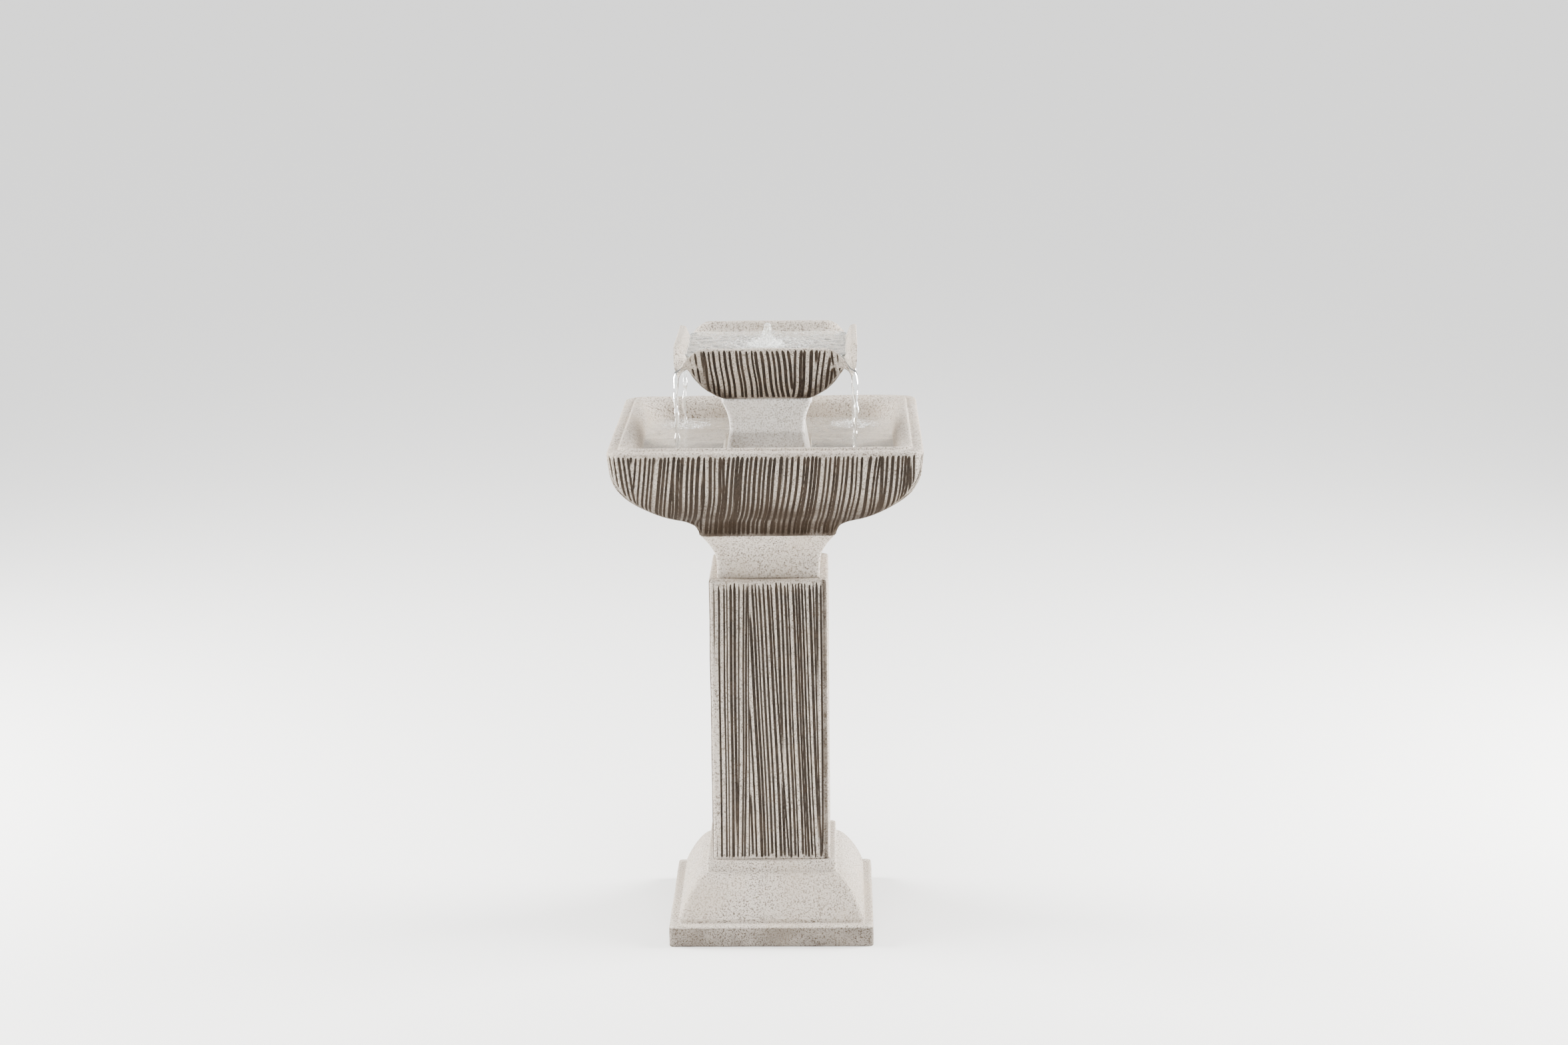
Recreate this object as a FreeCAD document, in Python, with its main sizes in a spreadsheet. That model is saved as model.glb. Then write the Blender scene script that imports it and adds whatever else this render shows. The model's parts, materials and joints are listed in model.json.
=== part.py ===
import FreeCAD, Part
import math
import os
import Sketcher

# A free-standing two-tier pedestal fountain in cast stone, with a submersible pump in its upper tier.
# Millimetres, +Z up, front towards -Y.  The origin is the centre of the underside of the base.
# The castings are square in plan and stack by gravity; each one locates on a raised rib below it.
# Water rises through the tube, wells up from the nozzle and falls from the four corner spouts.

doc = FreeCAD.newDocument("PedestalFountain")

# ---------------------------------------------------------------- driving dimensions
sizes = doc.addObject("Spreadsheet::Sheet", "Sizes")
drivingSizes = [
    # base
    ("slabHalf", 133.0), ("slabHeight", 28.0), ("slabWall", 12.0), ("slabRecess", 20.0),
    ("riserHalf", 121.0), ("riserHeight", 7.3),
    ("ovoloHeight", 51.0), ("collarHalf", 84.5), ("collarHeight", 13.8), ("baseCorner", 4.0),
    ("baseWall", 12.0),
    # column and neck
    ("columnHalf", 77.0), ("columnHeight", 377.3), ("columnWall", 12.0), ("columnCorner", 6.0),
    ("columnTopPlate", 14.0), ("ribHeight", 10.0), ("ribWall", 8.0), ("seatClearance", 0.5),
    ("neckFootHalf", 66.3), ("neckTopHalf", 86.3), ("neckHeight", 61.1), ("neckWall", 14.0),
    ("neckSpigotHalf", 47.5),
    # main bowl
    ("bowlRimHalf", 195.8), ("bowlRimHeight", 25.5), ("bowlBellyHeight", 87.0),
    ("bowlFootHalf", 88.0), ("bowlFootHeight", 20.5), ("bowlWall", 13.0), ("bowlFloor", 14.5),
    ("bowlFootRecess", 22.0), ("bowlCornerShare", 0.145),
    # upper pedestal
    ("pillarFootHalf", 62.0), ("pillarFootHeight", 8.0), ("pillarWaistHalf", 48.1),
    ("pillarTopHalf", 57.7), ("pillarHeight", 136.0), ("pillarWall", 7.5), ("pillarTopPlate", 12.0),
    ("pillarLip", 5.5), ("pillarOpeningHalf", 24.0), ("pillarCorner", 5.0),
    ("inletWidth", 24.0), ("inletHeight", 9.0),
    # top bowl and spouts
    ("dishRimHalf", 115.8), ("dishRimHeight", 1.7), ("dishBellyHeight", 72.0), ("dishFootHalf", 56.0),
    ("dishFootHeight", 2.0), ("dishWall", 8.8), ("dishFloor", 14.0), ("dishCornerShare", 0.13),
    ("spoutMouth", 28.0), ("spoutDrop", 35.0), ("spoutReach", 5.5), ("spoutWall", 6.0),
    ("spoutTipWidth", 8.0), ("channelDepth", 16.5),
    # water fitting in the top bowl
    ("stemBore", 4.5), ("spigotRadius", 6.4), ("threadRadius", 9.9), ("holeClearance", 0.6),
    ("flangeRadius", 15.0), ("flangeHeight", 3.0), ("washerHeight", 3.0), ("stemRise", 22.0),
    ("stemTail", 22.0), ("nutFlats", 30.0), ("nutHeight", 7.0),
    ("stemRadius", 7.0), ("nozzleWall", 2.4), ("nozzleHeight", 24.0), ("nozzleLap", 12.0),
    ("nozzleBell", 12.0), ("slideClearance", 0.08),
    ("tubeWall", 1.95), ("tubeLap", 18.0),
    # pump
    ("feetHeight", 8.0), ("pumpWidth", 44.0), ("pumpHeight", 46.0), ("motorLength", 40.0),
    ("pumpShell", 2.5), ("pumpCorner", 5.0),
    ("chamberRadius", 15.0), ("chamberDepth", 14.0),
    ("wellRadius", 8.0), ("wellWall", 1.5), ("wellDepth", 34.0), ("magnetRadius", 7.2),
    ("magnetLength", 14.5), ("shaftRadius", 1.5), ("shaftClearance", 0.05), ("bushRadius", 4.0),
    ("bushLength", 4.0), ("wheelRadius", 12.0), ("bladeCount", 6), ("bladeHeight", 6.0),
    ("coverThick", 3.0), ("gasketThick", 1.0), ("inletRadius", 10.0),
    ("strainerDepth", 20.0), ("strainerWall", 2.0), ("strainerSlots", 7), ("slotWidth", 2.4),
    ("dialRadius", 9.0), ("dialThick", 3.0), ("dialPin", 2.0), ("spigotHeight", 22.0),
    ("coreThick", 7.0), ("coreLength", 14.0), ("endCapThick", 3.0),
    # cable passage and drain
    ("cableBore", 3.6), ("bungRadius", 7.0), ("bungFlange", 9.5), ("bungFlangeHeight", 2.0),
    ("grommetOffset", 45.0), ("exitHeight", 10.0),
    ("drainRadius", 8.0), ("drainOffset", 98.0), ("drainHead", 12.0), ("drainHeadHeight", 4.0),
]
for row, (alias, value) in enumerate(drivingSizes, start=1):
    sizes.set(f"A{row}", alias)
    sizes.set(f"B{row}", str(value))
    sizes.setAlias(f"B{row}", alias)
doc.recompute()


def size(alias):
    """One cell of the sheet, as a plain number."""
    return float(sizes.get(alias))


def cell(alias):
    """One cell of the sheet, as a term of an expression."""
    return f"Sizes.{alias}"


def number(expression):
    """The value of an expression."""
    found = sizes.evalExpression(expression)
    return float(getattr(found, "Value", found))


# ---------------------------------------------------------------- levels, as expressions
slabTop = cell("slabHeight")
riserTop = f"({slabTop} + Sizes.riserHeight)"
ovoloTop = f"({riserTop} + Sizes.ovoloHeight)"
collarTop = f"({ovoloTop} + Sizes.collarHeight)"
columnTop = f"({collarTop} + Sizes.columnHeight)"
neckTop = f"({columnTop} + Sizes.neckHeight)"
bellyLow = f"({neckTop} + Sizes.bowlFootHeight)"
bellyTop = f"({bellyLow} + Sizes.bowlBellyHeight)"
rimTop = f"({bellyTop} + Sizes.bowlRimHeight)"
basinFloor = f"({neckTop} + Sizes.bowlFootRecess + Sizes.bowlFloor)"
pillarTop = f"({basinFloor} + Sizes.pillarHeight)"
dishFloorTop = f"({pillarTop} + Sizes.dishFloor)"
dishBellyTop = f"({pillarTop} + Sizes.dishBellyHeight)"
dishTop = f"({dishBellyTop} + Sizes.dishRimHeight)"
pumpLow = f"({basinFloor} + Sizes.feetHeight)"
pumpAxis = f"({pumpLow} + Sizes.pumpHeight / 2)"
pumpTop = f"({pumpLow} + Sizes.pumpHeight)"

nodes = []


def keep(piece, label):
    """Marks an object as a finished sub-part; its label names its file."""
    piece.Label = label
    nodes.append(piece)
    return piece


# ---------------------------------------------------------------- square castings
def newBody(name):
    return doc.addObject("PartDesign::Body", name)


def basePlane(body, role):
    return next(item for item in body.Origin.OriginFeatures if item.Role == role)


def squareSketch(body, name, half, corner, level):
    """A rounded square of the given half width and corner radius, centred, at a level."""
    sketch = body.newObject("Sketcher::SketchObject", name)
    sketch.AttachmentSupport = (basePlane(body, "XY_Plane"), "")
    sketch.MapMode = "FlatFace"
    sketch.setExpression("AttachmentOffset.Base.z", level)
    reach, radius = number(half), number(corner)
    inner = reach - radius
    turn = math.pi / 2
    for quarter in range(4):
        angle = quarter * turn
        along = FreeCAD.Vector(math.cos(angle + turn), math.sin(angle + turn), 0)
        out = FreeCAD.Vector(math.cos(angle), math.sin(angle), 0)
        sketch.addGeometry(Part.LineSegment(out * reach - along * inner, out * reach + along * inner))
        centre = (out + along) * inner
        circle = Part.Circle(centre, FreeCAD.Vector(0, 0, 1), radius)
        sketch.addGeometry(Part.ArcOfCircle(circle, angle, angle + turn))
    for quarter in range(4):
        line, arc, following = 2 * quarter, 2 * quarter + 1, (2 * quarter + 2) % 8
        sketch.addConstraint(Sketcher.Constraint("Tangent", line, 2, arc, 1))
        sketch.addConstraint(Sketcher.Constraint("Tangent", arc, 2, following, 1))
    sketch.addConstraint([
        Sketcher.Constraint("Vertical", 0), Sketcher.Constraint("Horizontal", 2),
        Sketcher.Constraint("Equal", 1, 3), Sketcher.Constraint("Equal", 3, 5),
        Sketcher.Constraint("Symmetric", 1, 3, 5, 3, -1, 1),
    ])
    for point, axis, sense in ((1, "DistanceX", 1), (1, "DistanceY", 1)):
        index = sketch.addConstraint(Sketcher.Constraint(axis, -1, 1, point, 3, sense * inner))
        sketch.setExpression(f"Constraints[{index}]", f"{half} - {corner}")
    index = sketch.addConstraint(Sketcher.Constraint("Radius", 1, radius))
    sketch.setExpression(f"Constraints[{index}]", corner)
    return sketch


def addBlock(body, name, half, corner, low, high):
    """A rounded square block between two levels."""
    pad = body.newObject("PartDesign::Pad", name)
    pad.Profile = squareSketch(body, name + "Outline", half, corner, low)
    pad.setExpression("Length", f"{high} - {low}")
    return pad


def cutBlock(body, name, half, corner, low, high):
    """A rounded square hollow between two levels; the cut runs upwards from its sketch."""
    before = volumeOf(body)
    pocket = body.newObject("PartDesign::Pocket", name)
    pocket.Profile = squareSketch(body, name + "Outline", half, corner, low)
    pocket.Reversed = True
    pocket.setExpression("Length", f"{high} - {low}")
    doc.recompute()
    if volumeOf(body) >= before:
        raise RuntimeError(name + " cuts nothing")
    return pocket


def volumeOf(body):
    doc.recompute()
    return body.Shape.Volume


def throughSections(body, kind, name, sections, straight=False):
    """A loft through rounded squares, each (half width, corner radius, level)."""
    sketches = [squareSketch(body, f"{name}Section{index}", *section)
                for index, section in enumerate(sections)]
    loft = body.newObject(kind, name)
    loft.Profile = sketches[0]
    loft.Sections = sketches[1:]
    loft.Ruled = straight
    return loft


def bowlSections(foot, rim, share, low, rise, power, fractions):
    """Sections of a bowl's belly: its half width grows from foot to rim with a blunt ellipse,
    half = foot + (rim - foot) * sqrt(1 - depth^power), where depth runs from 1 low down to 0."""
    sections = []
    for depth in fractions:
        growth = math.sqrt(1 - depth ** power)
        half = f"({foot} + ({rim} - {foot}) * {growth:.5f})"
        level = f"({low} + {rise} * {1 - depth:.4f})"
        sections.append((half, f"{half} * {share}", level))
    return sections


# ---------------------------------------------------------------- base
base = newBody("Base")
addBlock(base, "Slab", cell("slabHalf"), cell("baseCorner"), "0", slabTop)
addBlock(base, "Riser", cell("riserHalf"), cell("baseCorner"), slabTop, riserTop)
# the ovolo closes in from the riser to the collar: half = collar + (riser - collar) * share,
# where share = (1 - rise^1.1)^0.65 and rise runs from 0 at its foot to 1 at its top
ovoloSections = []
for rise in (0.0, 0.15, 0.37, 0.58, 0.78, 0.93, 1.0):
    share = (1 - rise ** 1.1) ** 0.65
    ovoloSections.append((f"(Sizes.collarHalf + (Sizes.riserHalf - 0.5 - Sizes.collarHalf) * {share:.4f})",
                          cell("baseCorner"), f"({riserTop} + Sizes.ovoloHeight * {rise})"))
throughSections(base, "PartDesign::AdditiveLoft", "Ovolo", ovoloSections)
addBlock(base, "Collar", cell("collarHalf"), cell("baseCorner"), ovoloTop, collarTop)
columnInside = "(Sizes.columnHalf - Sizes.columnWall)"
ribHalf = f"({columnInside} - Sizes.seatClearance)"
throatHalf = f"({ribHalf} - Sizes.ribWall)"
addBlock(base, "SeatRib", ribHalf, cell("baseCorner"), collarTop, f"({collarTop} + Sizes.ribHeight)")
cutBlock(base, "SlabHollow", "(Sizes.slabHalf - Sizes.slabWall)", cell("baseCorner"),
         "0", cell("slabRecess"))
throughSections(base, "PartDesign::SubtractiveLoft", "OvoloHollow", [
    ("(Sizes.riserHalf - Sizes.baseWall)", cell("baseCorner"), cell("slabRecess")),
    (throatHalf, cell("baseCorner"), ovoloTop),
], straight=True)
cutBlock(base, "Throat", throatHalf, cell("baseCorner"), ovoloTop, f"({collarTop} + Sizes.ribHeight)")


def cylinder(name, radius, length, x, y, z, axis="Z"):
    """A cylinder from (x, y, z) along the axis; every size is an expression."""
    turns = {"Z": FreeCAD.Rotation(),
             "Y": FreeCAD.Rotation(FreeCAD.Vector(1, 0, 0), -90),
             "-Y": FreeCAD.Rotation(FreeCAD.Vector(1, 0, 0), 90)}
    piece = doc.addObject("Part::Cylinder", name)
    piece.Placement = FreeCAD.Placement(FreeCAD.Vector(), turns[axis])
    piece.setExpression("Radius", radius)
    piece.setExpression("Height", length)
    piece.setExpression("Placement.Base.x", x)
    piece.setExpression("Placement.Base.y", y)
    piece.setExpression("Placement.Base.z", z)
    return piece


def box(name, width, depth, height, x, y, z):
    """A box centred on x and y, standing on z; every size is an expression."""
    piece = doc.addObject("Part::Box", name)
    piece.setExpression("Length", width)
    piece.setExpression("Width", depth)
    piece.setExpression("Height", height)
    piece.setExpression("Placement.Base.x", f"{x} - ({width}) / 2")
    piece.setExpression("Placement.Base.y", f"{y} - ({depth}) / 2")
    piece.setExpression("Placement.Base.z", z)
    return piece


def cone(name, lowRadius, highRadius, length, x, y, z):
    """An upright cone standing on z."""
    piece = doc.addObject("Part::Cone", name)
    piece.setExpression("Radius1", lowRadius)
    piece.setExpression("Radius2", highRadius)
    piece.setExpression("Height", length)
    piece.setExpression("Placement.Base.x", x)
    piece.setExpression("Placement.Base.y", y)
    piece.setExpression("Placement.Base.z", z)
    return piece


def joined(name, pieces):
    fusion = doc.addObject("Part::MultiFuse", name)
    fusion.Shapes = pieces
    fusion.Refine = True
    return fusion


def without(name, piece, tool):
    """piece with tool taken away; a tool that removes nothing stops the build."""
    cut = doc.addObject("Part::Cut", name)
    cut.Base = piece
    cut.Tool = tool
    doc.recompute()
    if cut.Shape.Volume >= piece.Shape.Volume - 1e-6:
        raise RuntimeError(name + " cuts nothing")
    return cut


def feature(name, shape):
    """A shape worked out in this script, as an object of the document."""
    piece = doc.addObject("Part::Feature", name)
    piece.Shape = shape
    return piece


# the mains lead leaves through a square bushed hole low in the back of the slab
exitSide = "(2 * Sizes.bungRadius + 0.1)"
exitHole = box("ExitHole", exitSide, "Sizes.slabWall * 3", exitSide, "0",
               "Sizes.slabHalf - Sizes.slabWall / 2", f"Sizes.exitHeight - {exitSide} / 2")
keep(without("BasePlinth", base, exitHole), "base_plinth")

exitSleeve = box("ExitSleeve", "2 * Sizes.bungRadius", cell("slabWall"), "2 * Sizes.bungRadius", "0",
                 "Sizes.slabHalf - Sizes.slabWall / 2", "Sizes.exitHeight - Sizes.bungRadius")
exitFlange = box("ExitFlange", "2 * Sizes.bungFlange", cell("bungFlangeHeight"),
                 "2 * Sizes.bungFlange", "0",
                 "Sizes.slabHalf - Sizes.slabWall - Sizes.bungFlangeHeight / 2",
                 "Sizes.exitHeight - Sizes.bungFlange")
exitBore = cylinder("ExitBore", cell("cableBore"), "Sizes.slabWall * 3", "0",
                    "Sizes.slabHalf - Sizes.slabWall * 2", cell("exitHeight"), "Y")
keep(without("ExitBush", joined("ExitBushBody", [exitSleeve, exitFlange]), exitBore),
     "rear_cable_bush")

# ---------------------------------------------------------------- column
column = newBody("Column")
addBlock(column, "ColumnShaft", cell("columnHalf"), cell("columnCorner"), collarTop, columnTop)
columnPlateLow = f"({columnTop} - Sizes.columnTopPlate)"
cutBlock(column, "ColumnHollow", columnInside, cell("baseCorner"), collarTop, columnPlateLow)
cutBlock(column, "ColumnOpening", "(Sizes.neckSpigotHalf + Sizes.seatClearance)", cell("baseCorner"),
         columnPlateLow, columnTop)
keep(column, "pedestal_column")

# ---------------------------------------------------------------- neck
# the neck's outline is straight at its foot and flares outwards in a hollow curve
neck = newBody("Neck")
neckFlare = ((0.0, 0.0), (0.3, 0.01), (0.54, 0.13), (0.77, 0.475), (1.0, 1.0))
throughSections(neck, "PartDesign::AdditiveLoft", "NeckFlare", [
    (f"(Sizes.neckFootHalf + (Sizes.neckTopHalf - Sizes.neckFootHalf) * {out})",
     cell("pillarCorner"), f"({columnTop} + Sizes.neckHeight * {up})")
    for up, out in neckFlare])
addBlock(neck, "NeckSpigot", cell("neckSpigotHalf"), cell("baseCorner"),
         f"({columnTop} - Sizes.ribHeight)", columnTop)
neckInside = "(Sizes.neckTopHalf - Sizes.neckWall - Sizes.ribWall - Sizes.seatClearance)"
neckRibHalf = "(Sizes.neckTopHalf - Sizes.neckWall - Sizes.seatClearance)"
addBlock(neck, "NeckRib", neckRibHalf, cell("baseCorner"), neckTop, f"({neckTop} + Sizes.ribHeight)")
neckBore = "(Sizes.neckSpigotHalf - Sizes.ribWall)"
cutBlock(neck, "SpigotBore", neckBore, cell("baseCorner"), f"({columnTop} - Sizes.ribHeight)",
         f"({columnTop} + Sizes.ribHeight)")
throughSections(neck, "PartDesign::SubtractiveLoft", "NeckHollow", [
    (neckBore, cell("baseCorner"), f"({columnTop} + Sizes.ribHeight)"),
    (neckInside, cell("baseCorner"), f"({neckTop} + Sizes.ribHeight)"),
], straight=True)
keep(neck, "column_neck")

# ---------------------------------------------------------------- main bowl
basin = newBody("Basin")
bowlCorner = cell("bowlCornerShare")
footSwell = "(Sizes.bowlFootHalf + 3.5)"
footEdge = "(Sizes.bowlFootHalf + 16)"
bellyFractions = (0.88, 0.70, 0.47, 0.24, 0.08, 0.0)
throughSections(basin, "PartDesign::AdditiveLoft", "BowlBelly", [
    (cell("bowlFootHalf"), f"{cell('bowlFootHalf')} * {bowlCorner}", neckTop),
    (footSwell, f"{footSwell} * {bowlCorner}", f"({neckTop} + Sizes.bowlFootHeight * 0.55)"),
    (footEdge, f"{footEdge} * {bowlCorner}", bellyLow),
] + bowlSections(cell("bowlFootHalf"), cell("bowlRimHalf"), bowlCorner, bellyLow,
                 cell("bowlBellyHeight"), 1.2, bellyFractions))
addBlock(basin, "BowlRim", cell("bowlRimHalf"), f"{cell('bowlRimHalf')} * {bowlCorner}",
         bellyTop, rimTop)
basinTopHalf = "(Sizes.bowlRimHalf - Sizes.bowlWall)"
basinFloorHalf = "(Sizes.bowlFootHalf + 30)"
basinDepth = f"({rimTop} - {basinFloor})"
insideShare = "0.24"
# the inside, as (share of the depth, share of the way out from the floor's edge to the rim's)
basinShape = ((0.0, 0.0), (0.22, 0.31), (0.55, 0.57), (0.725, 0.70), (1.0, 1.0))
basinSections = []
for up, out in basinShape:
    half = f"({basinFloorHalf} + ({basinTopHalf} - {basinFloorHalf}) * {out})"
    basinSections.append((half, f"{half} * {insideShare}", f"({basinFloor} + {basinDepth} * {up})"))
throughSections(basin, "PartDesign::SubtractiveLoft", "BowlHollow", basinSections)
footInside = "(Sizes.neckTopHalf - Sizes.neckWall)"
cutBlock(basin, "FootRecess", footInside, cell("baseCorner"), neckTop,
         f"({neckTop} + Sizes.bowlFootRecess)")
leadHole = cylinder("LeadHole", "Sizes.bungRadius + 0.05", "Sizes.bowlFloor * 3", "0",
                    cell("grommetOffset"), f"{basinFloor} - Sizes.bowlFloor * 2")
drainHole = cylinder("DrainHole", "Sizes.drainRadius + 0.05", "Sizes.bowlFloor * 4", "0",
                     cell("drainOffset"), f"{basinFloor} - Sizes.bowlFloor * 3")
keep(without("MainBowl", without("BasinLeadHole", basin, leadHole), drainHole), "main_bowl")

bung = cylinder("BungBody", cell("bungRadius"), cell("bowlFloor"), "0", cell("grommetOffset"),
                f"{basinFloor} - Sizes.bowlFloor")
bungTop = cylinder("BungTop", cell("bungFlange"), cell("bungFlangeHeight"), "0",
                   cell("grommetOffset"), basinFloor)
bungBore = cylinder("BungBore", cell("cableBore"), "Sizes.bowlFloor * 3", "0",
                    cell("grommetOffset"), f"{basinFloor} - Sizes.bowlFloor * 2")
keep(without("LeadGrommet", joined("GrommetBody", [bung, bungTop]), bungBore), "cable_grommet")

plug = cylinder("PlugBody", cell("drainRadius"), cell("bowlFloor"), "0", cell("drainOffset"),
                f"{basinFloor} - Sizes.bowlFloor")
plugHead = cylinder("PlugHead", cell("drainHead"), cell("drainHeadHeight"), "0",
                    cell("drainOffset"), basinFloor)
plugGrip = cylinder("PlugGrip", "Sizes.drainHead / 3", "Sizes.drainHeadHeight * 3", "0",
                    cell("drainOffset"), basinFloor)
keep(joined("DrainPlug", [plug, plugHead, plugGrip]), "drain_plug")

# ---------------------------------------------------------------- upper pedestal
pillar = newBody("Pillar")
addBlock(pillar, "PillarFoot", cell("pillarFootHalf"), cell("pillarCorner"), basinFloor,
         f"({basinFloor} + Sizes.pillarFootHeight)")
pillarLow = f"({basinFloor} + Sizes.pillarFootHeight)"
pillarShaft = "(Sizes.pillarHeight - Sizes.pillarFootHeight - Sizes.pillarLip)"
# half widths at shares of the height between the foot block and the lip
pillarShape = ((0.0, "Sizes.pillarFootHalf - 2"), (0.14, "Sizes.pillarFootHalf - 3"),
               (0.3, "Sizes.pillarWaistHalf + 7.4"), (0.555, "Sizes.pillarWaistHalf + 2.7"),
               (0.727, cell("pillarWaistHalf")), (0.857, "Sizes.pillarWaistHalf + 2.3"),
               (0.94, "Sizes.pillarWaistHalf + 5.7"), (1.0, "Sizes.pillarTopHalf - 0.9"))
throughSections(pillar, "PartDesign::AdditiveLoft", "PillarShaft", [
    (f"({half})", cell("pillarCorner"), f"({pillarLow} + {pillarShaft} * {up})")
    for up, half in pillarShape])
addBlock(pillar, "PillarLip", cell("pillarTopHalf"), cell("pillarCorner"),
         f"({pillarTop} - Sizes.pillarLip)", pillarTop)
pillarPlateLow = f"({pillarTop} - Sizes.pillarTopPlate)"
pillarRoom = f"({pillarPlateLow} - {basinFloor})"
throughSections(pillar, "PartDesign::SubtractiveLoft", "PillarHollow", [
    ("(Sizes.pillarFootHalf - Sizes.pillarWall)", cell("pillarCorner"), basinFloor),
    ("(Sizes.pillarWaistHalf + 4.5 - Sizes.pillarWall)", cell("pillarCorner"),
     f"({basinFloor} + {pillarRoom} * 0.45)"),
    ("(Sizes.pillarWaistHalf - Sizes.pillarWall)", cell("pillarCorner"),
     f"({basinFloor} + {pillarRoom} * 0.72)"),
    ("(Sizes.pillarWaistHalf - Sizes.pillarWall)", cell("pillarCorner"), pillarPlateLow),
], straight=True)
cutBlock(pillar, "PillarOpening", cell("pillarOpeningHalf"), cell("pillarCorner"),
         pillarPlateLow, pillarTop)
# water reaches the pump through a low slot in each side of the foot
inletAcross = box("InletAcross", "Sizes.pillarFootHalf * 3", cell("inletWidth"),
                  cell("inletHeight"), "0", "0", basinFloor)
inletAlong = box("InletAlong", cell("inletWidth"), "Sizes.pillarFootHalf * 3",
                 cell("inletHeight"), "0", "0", basinFloor)
keep(without("UpperPedestal", pillar, joined("WaterInlets", [inletAcross, inletAlong])),
     "upper_pedestal")

# ---------------------------------------------------------------- top bowl with four spouts
dish = newBody("Dish")
dishCorner = cell("dishCornerShare")
dishFractions = (0.985, 0.94, 0.86, 0.72, 0.55, 0.35, 0.15, 0.0)
addBlock(dish, "DishFoot", cell("dishFootHalf"), f"{cell('dishFootHalf')} * {dishCorner}", pillarTop,
         f"({pillarTop} + Sizes.dishFootHeight)")
throughSections(dish, "PartDesign::AdditiveLoft", "DishBelly", bowlSections(
    "(Sizes.dishFootHalf - 6)", cell("dishRimHalf"), dishCorner, pillarTop,
    cell("dishBellyHeight"), 0.9, dishFractions))
addBlock(dish, "DishRim", cell("dishRimHalf"), f"{cell('dishRimHalf')} * {dishCorner}",
         dishBellyTop, dishTop)
dishInsideTop = "(Sizes.dishRimHalf - Sizes.dishWall)"
dishInsideLow = "(Sizes.dishFootHalf + 2)"
dishDepth = f"({dishTop} - {dishFloorTop})"
dishSections = []
for up, out in ((0.0, 0.0), (0.36, 0.56), (0.74, 0.84), (1.0, 1.0)):
    half = f"({dishInsideLow} + ({dishInsideTop} - {dishInsideLow}) * {out})"
    dishSections.append((half, f"{half} * {insideShare}", f"({dishFloorTop} + {dishDepth} * {up})"))
throughSections(dish, "PartDesign::SubtractiveLoft", "DishHollow", dishSections)
stemHole = cylinder("StemHole", "Sizes.threadRadius + Sizes.holeClearance", "Sizes.dishFloor * 3",
                    "0", "0", f"{pillarTop} - Sizes.dishFloor")
drilledDish = without("DrilledDish", dish, stemHole)


def cornerTriangle(distance, halfWidth, high, low):
    """An upright triangle across a corner's diagonal, point down, at a distance from the axis."""
    points = [FreeCAD.Vector(distance, -halfWidth, high), FreeCAD.Vector(distance, halfWidth, high),
              FreeCAD.Vector(distance, 0, low)]
    return Part.makePolygon(points + points[:1])


def onCorners(shape):
    """Copies of a shape drawn along +X, turned onto the four corners' diagonals."""
    copies = []
    for corner in range(4):
        turned = shape.copy()
        turned.rotate(FreeCAD.Vector(), FreeCAD.Vector(0, 0, 1), 45 + 90 * corner)
        copies.append(turned)
    return Part.makeCompound(copies)


rimLevel = number(dishTop)
diagonal = math.sqrt(2) * size("dishRimHalf")
mouthHalf = size("spoutMouth") / math.sqrt(2)
mouthReach = diagonal - mouthHalf
tipReach = diagonal - math.sqrt(2) * size("spoutReach")
tipLevel = rimLevel - size("spoutDrop")
tipHalf = size("spoutTipWidth") / 2
wall = size("spoutWall")
channelRoot = 0.72 * mouthReach
leaf = Part.makeLoft([
    cornerTriangle(mouthReach - 3 * wall, mouthHalf, rimLevel, rimLevel - 0.9 * size("spoutDrop")),
    cornerTriangle(mouthReach, mouthHalf, rimLevel, tipLevel),
    cornerTriangle(tipReach, tipHalf, tipLevel + tipHalf, tipLevel - tipHalf / 2),
], True, True)
channelTop = rimLevel + 1
channel = Part.makeLoft([
    cornerTriangle(channelRoot, mouthHalf, channelTop, rimLevel - size("channelDepth")),
    cornerTriangle(mouthReach, mouthHalf - 0.7 * wall, channelTop, tipLevel + 1.3 * wall),
    cornerTriangle(tipReach + 1, 0.7 * tipHalf, tipLevel + tipHalf + 1, tipLevel + 0.4 * wall),
], True, True)
cornerBlock = Part.makeBox(diagonal, diagonal, rimLevel, FreeCAD.Vector(mouthReach, -diagonal / 2, 0))
trimmedDish = without("TrimmedDish", drilledDish, feature("CornerBlocks", onCorners(cornerBlock)))
leafyDish = joined("LeafyDish", [trimmedDish, feature("SpoutLeaves", onCorners(leaf))])
keep(without("TopBowl", leafyDish, feature("SpoutChannels", onCorners(channel))), "top_bowl")

# ---------------------------------------------------------------- water fitting of the top bowl
washerTop = f"({dishFloorTop} + Sizes.washerHeight)"
flangeTop = f"({washerTop} + Sizes.flangeHeight)"
stemLow = f"({pillarTop} - Sizes.nutHeight - Sizes.stemTail)"
washerDisc = cylinder("WasherDisc", cell("flangeRadius"), cell("washerHeight"), "0", "0", dishFloorTop)
washerHole = cylinder("WasherHole", "Sizes.threadRadius + 0.05", "Sizes.washerHeight * 3", "0", "0",
                      f"{dishFloorTop} - Sizes.washerHeight")
keep(without("SealWasher", washerDisc, washerHole), "bulkhead_washer")

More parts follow.
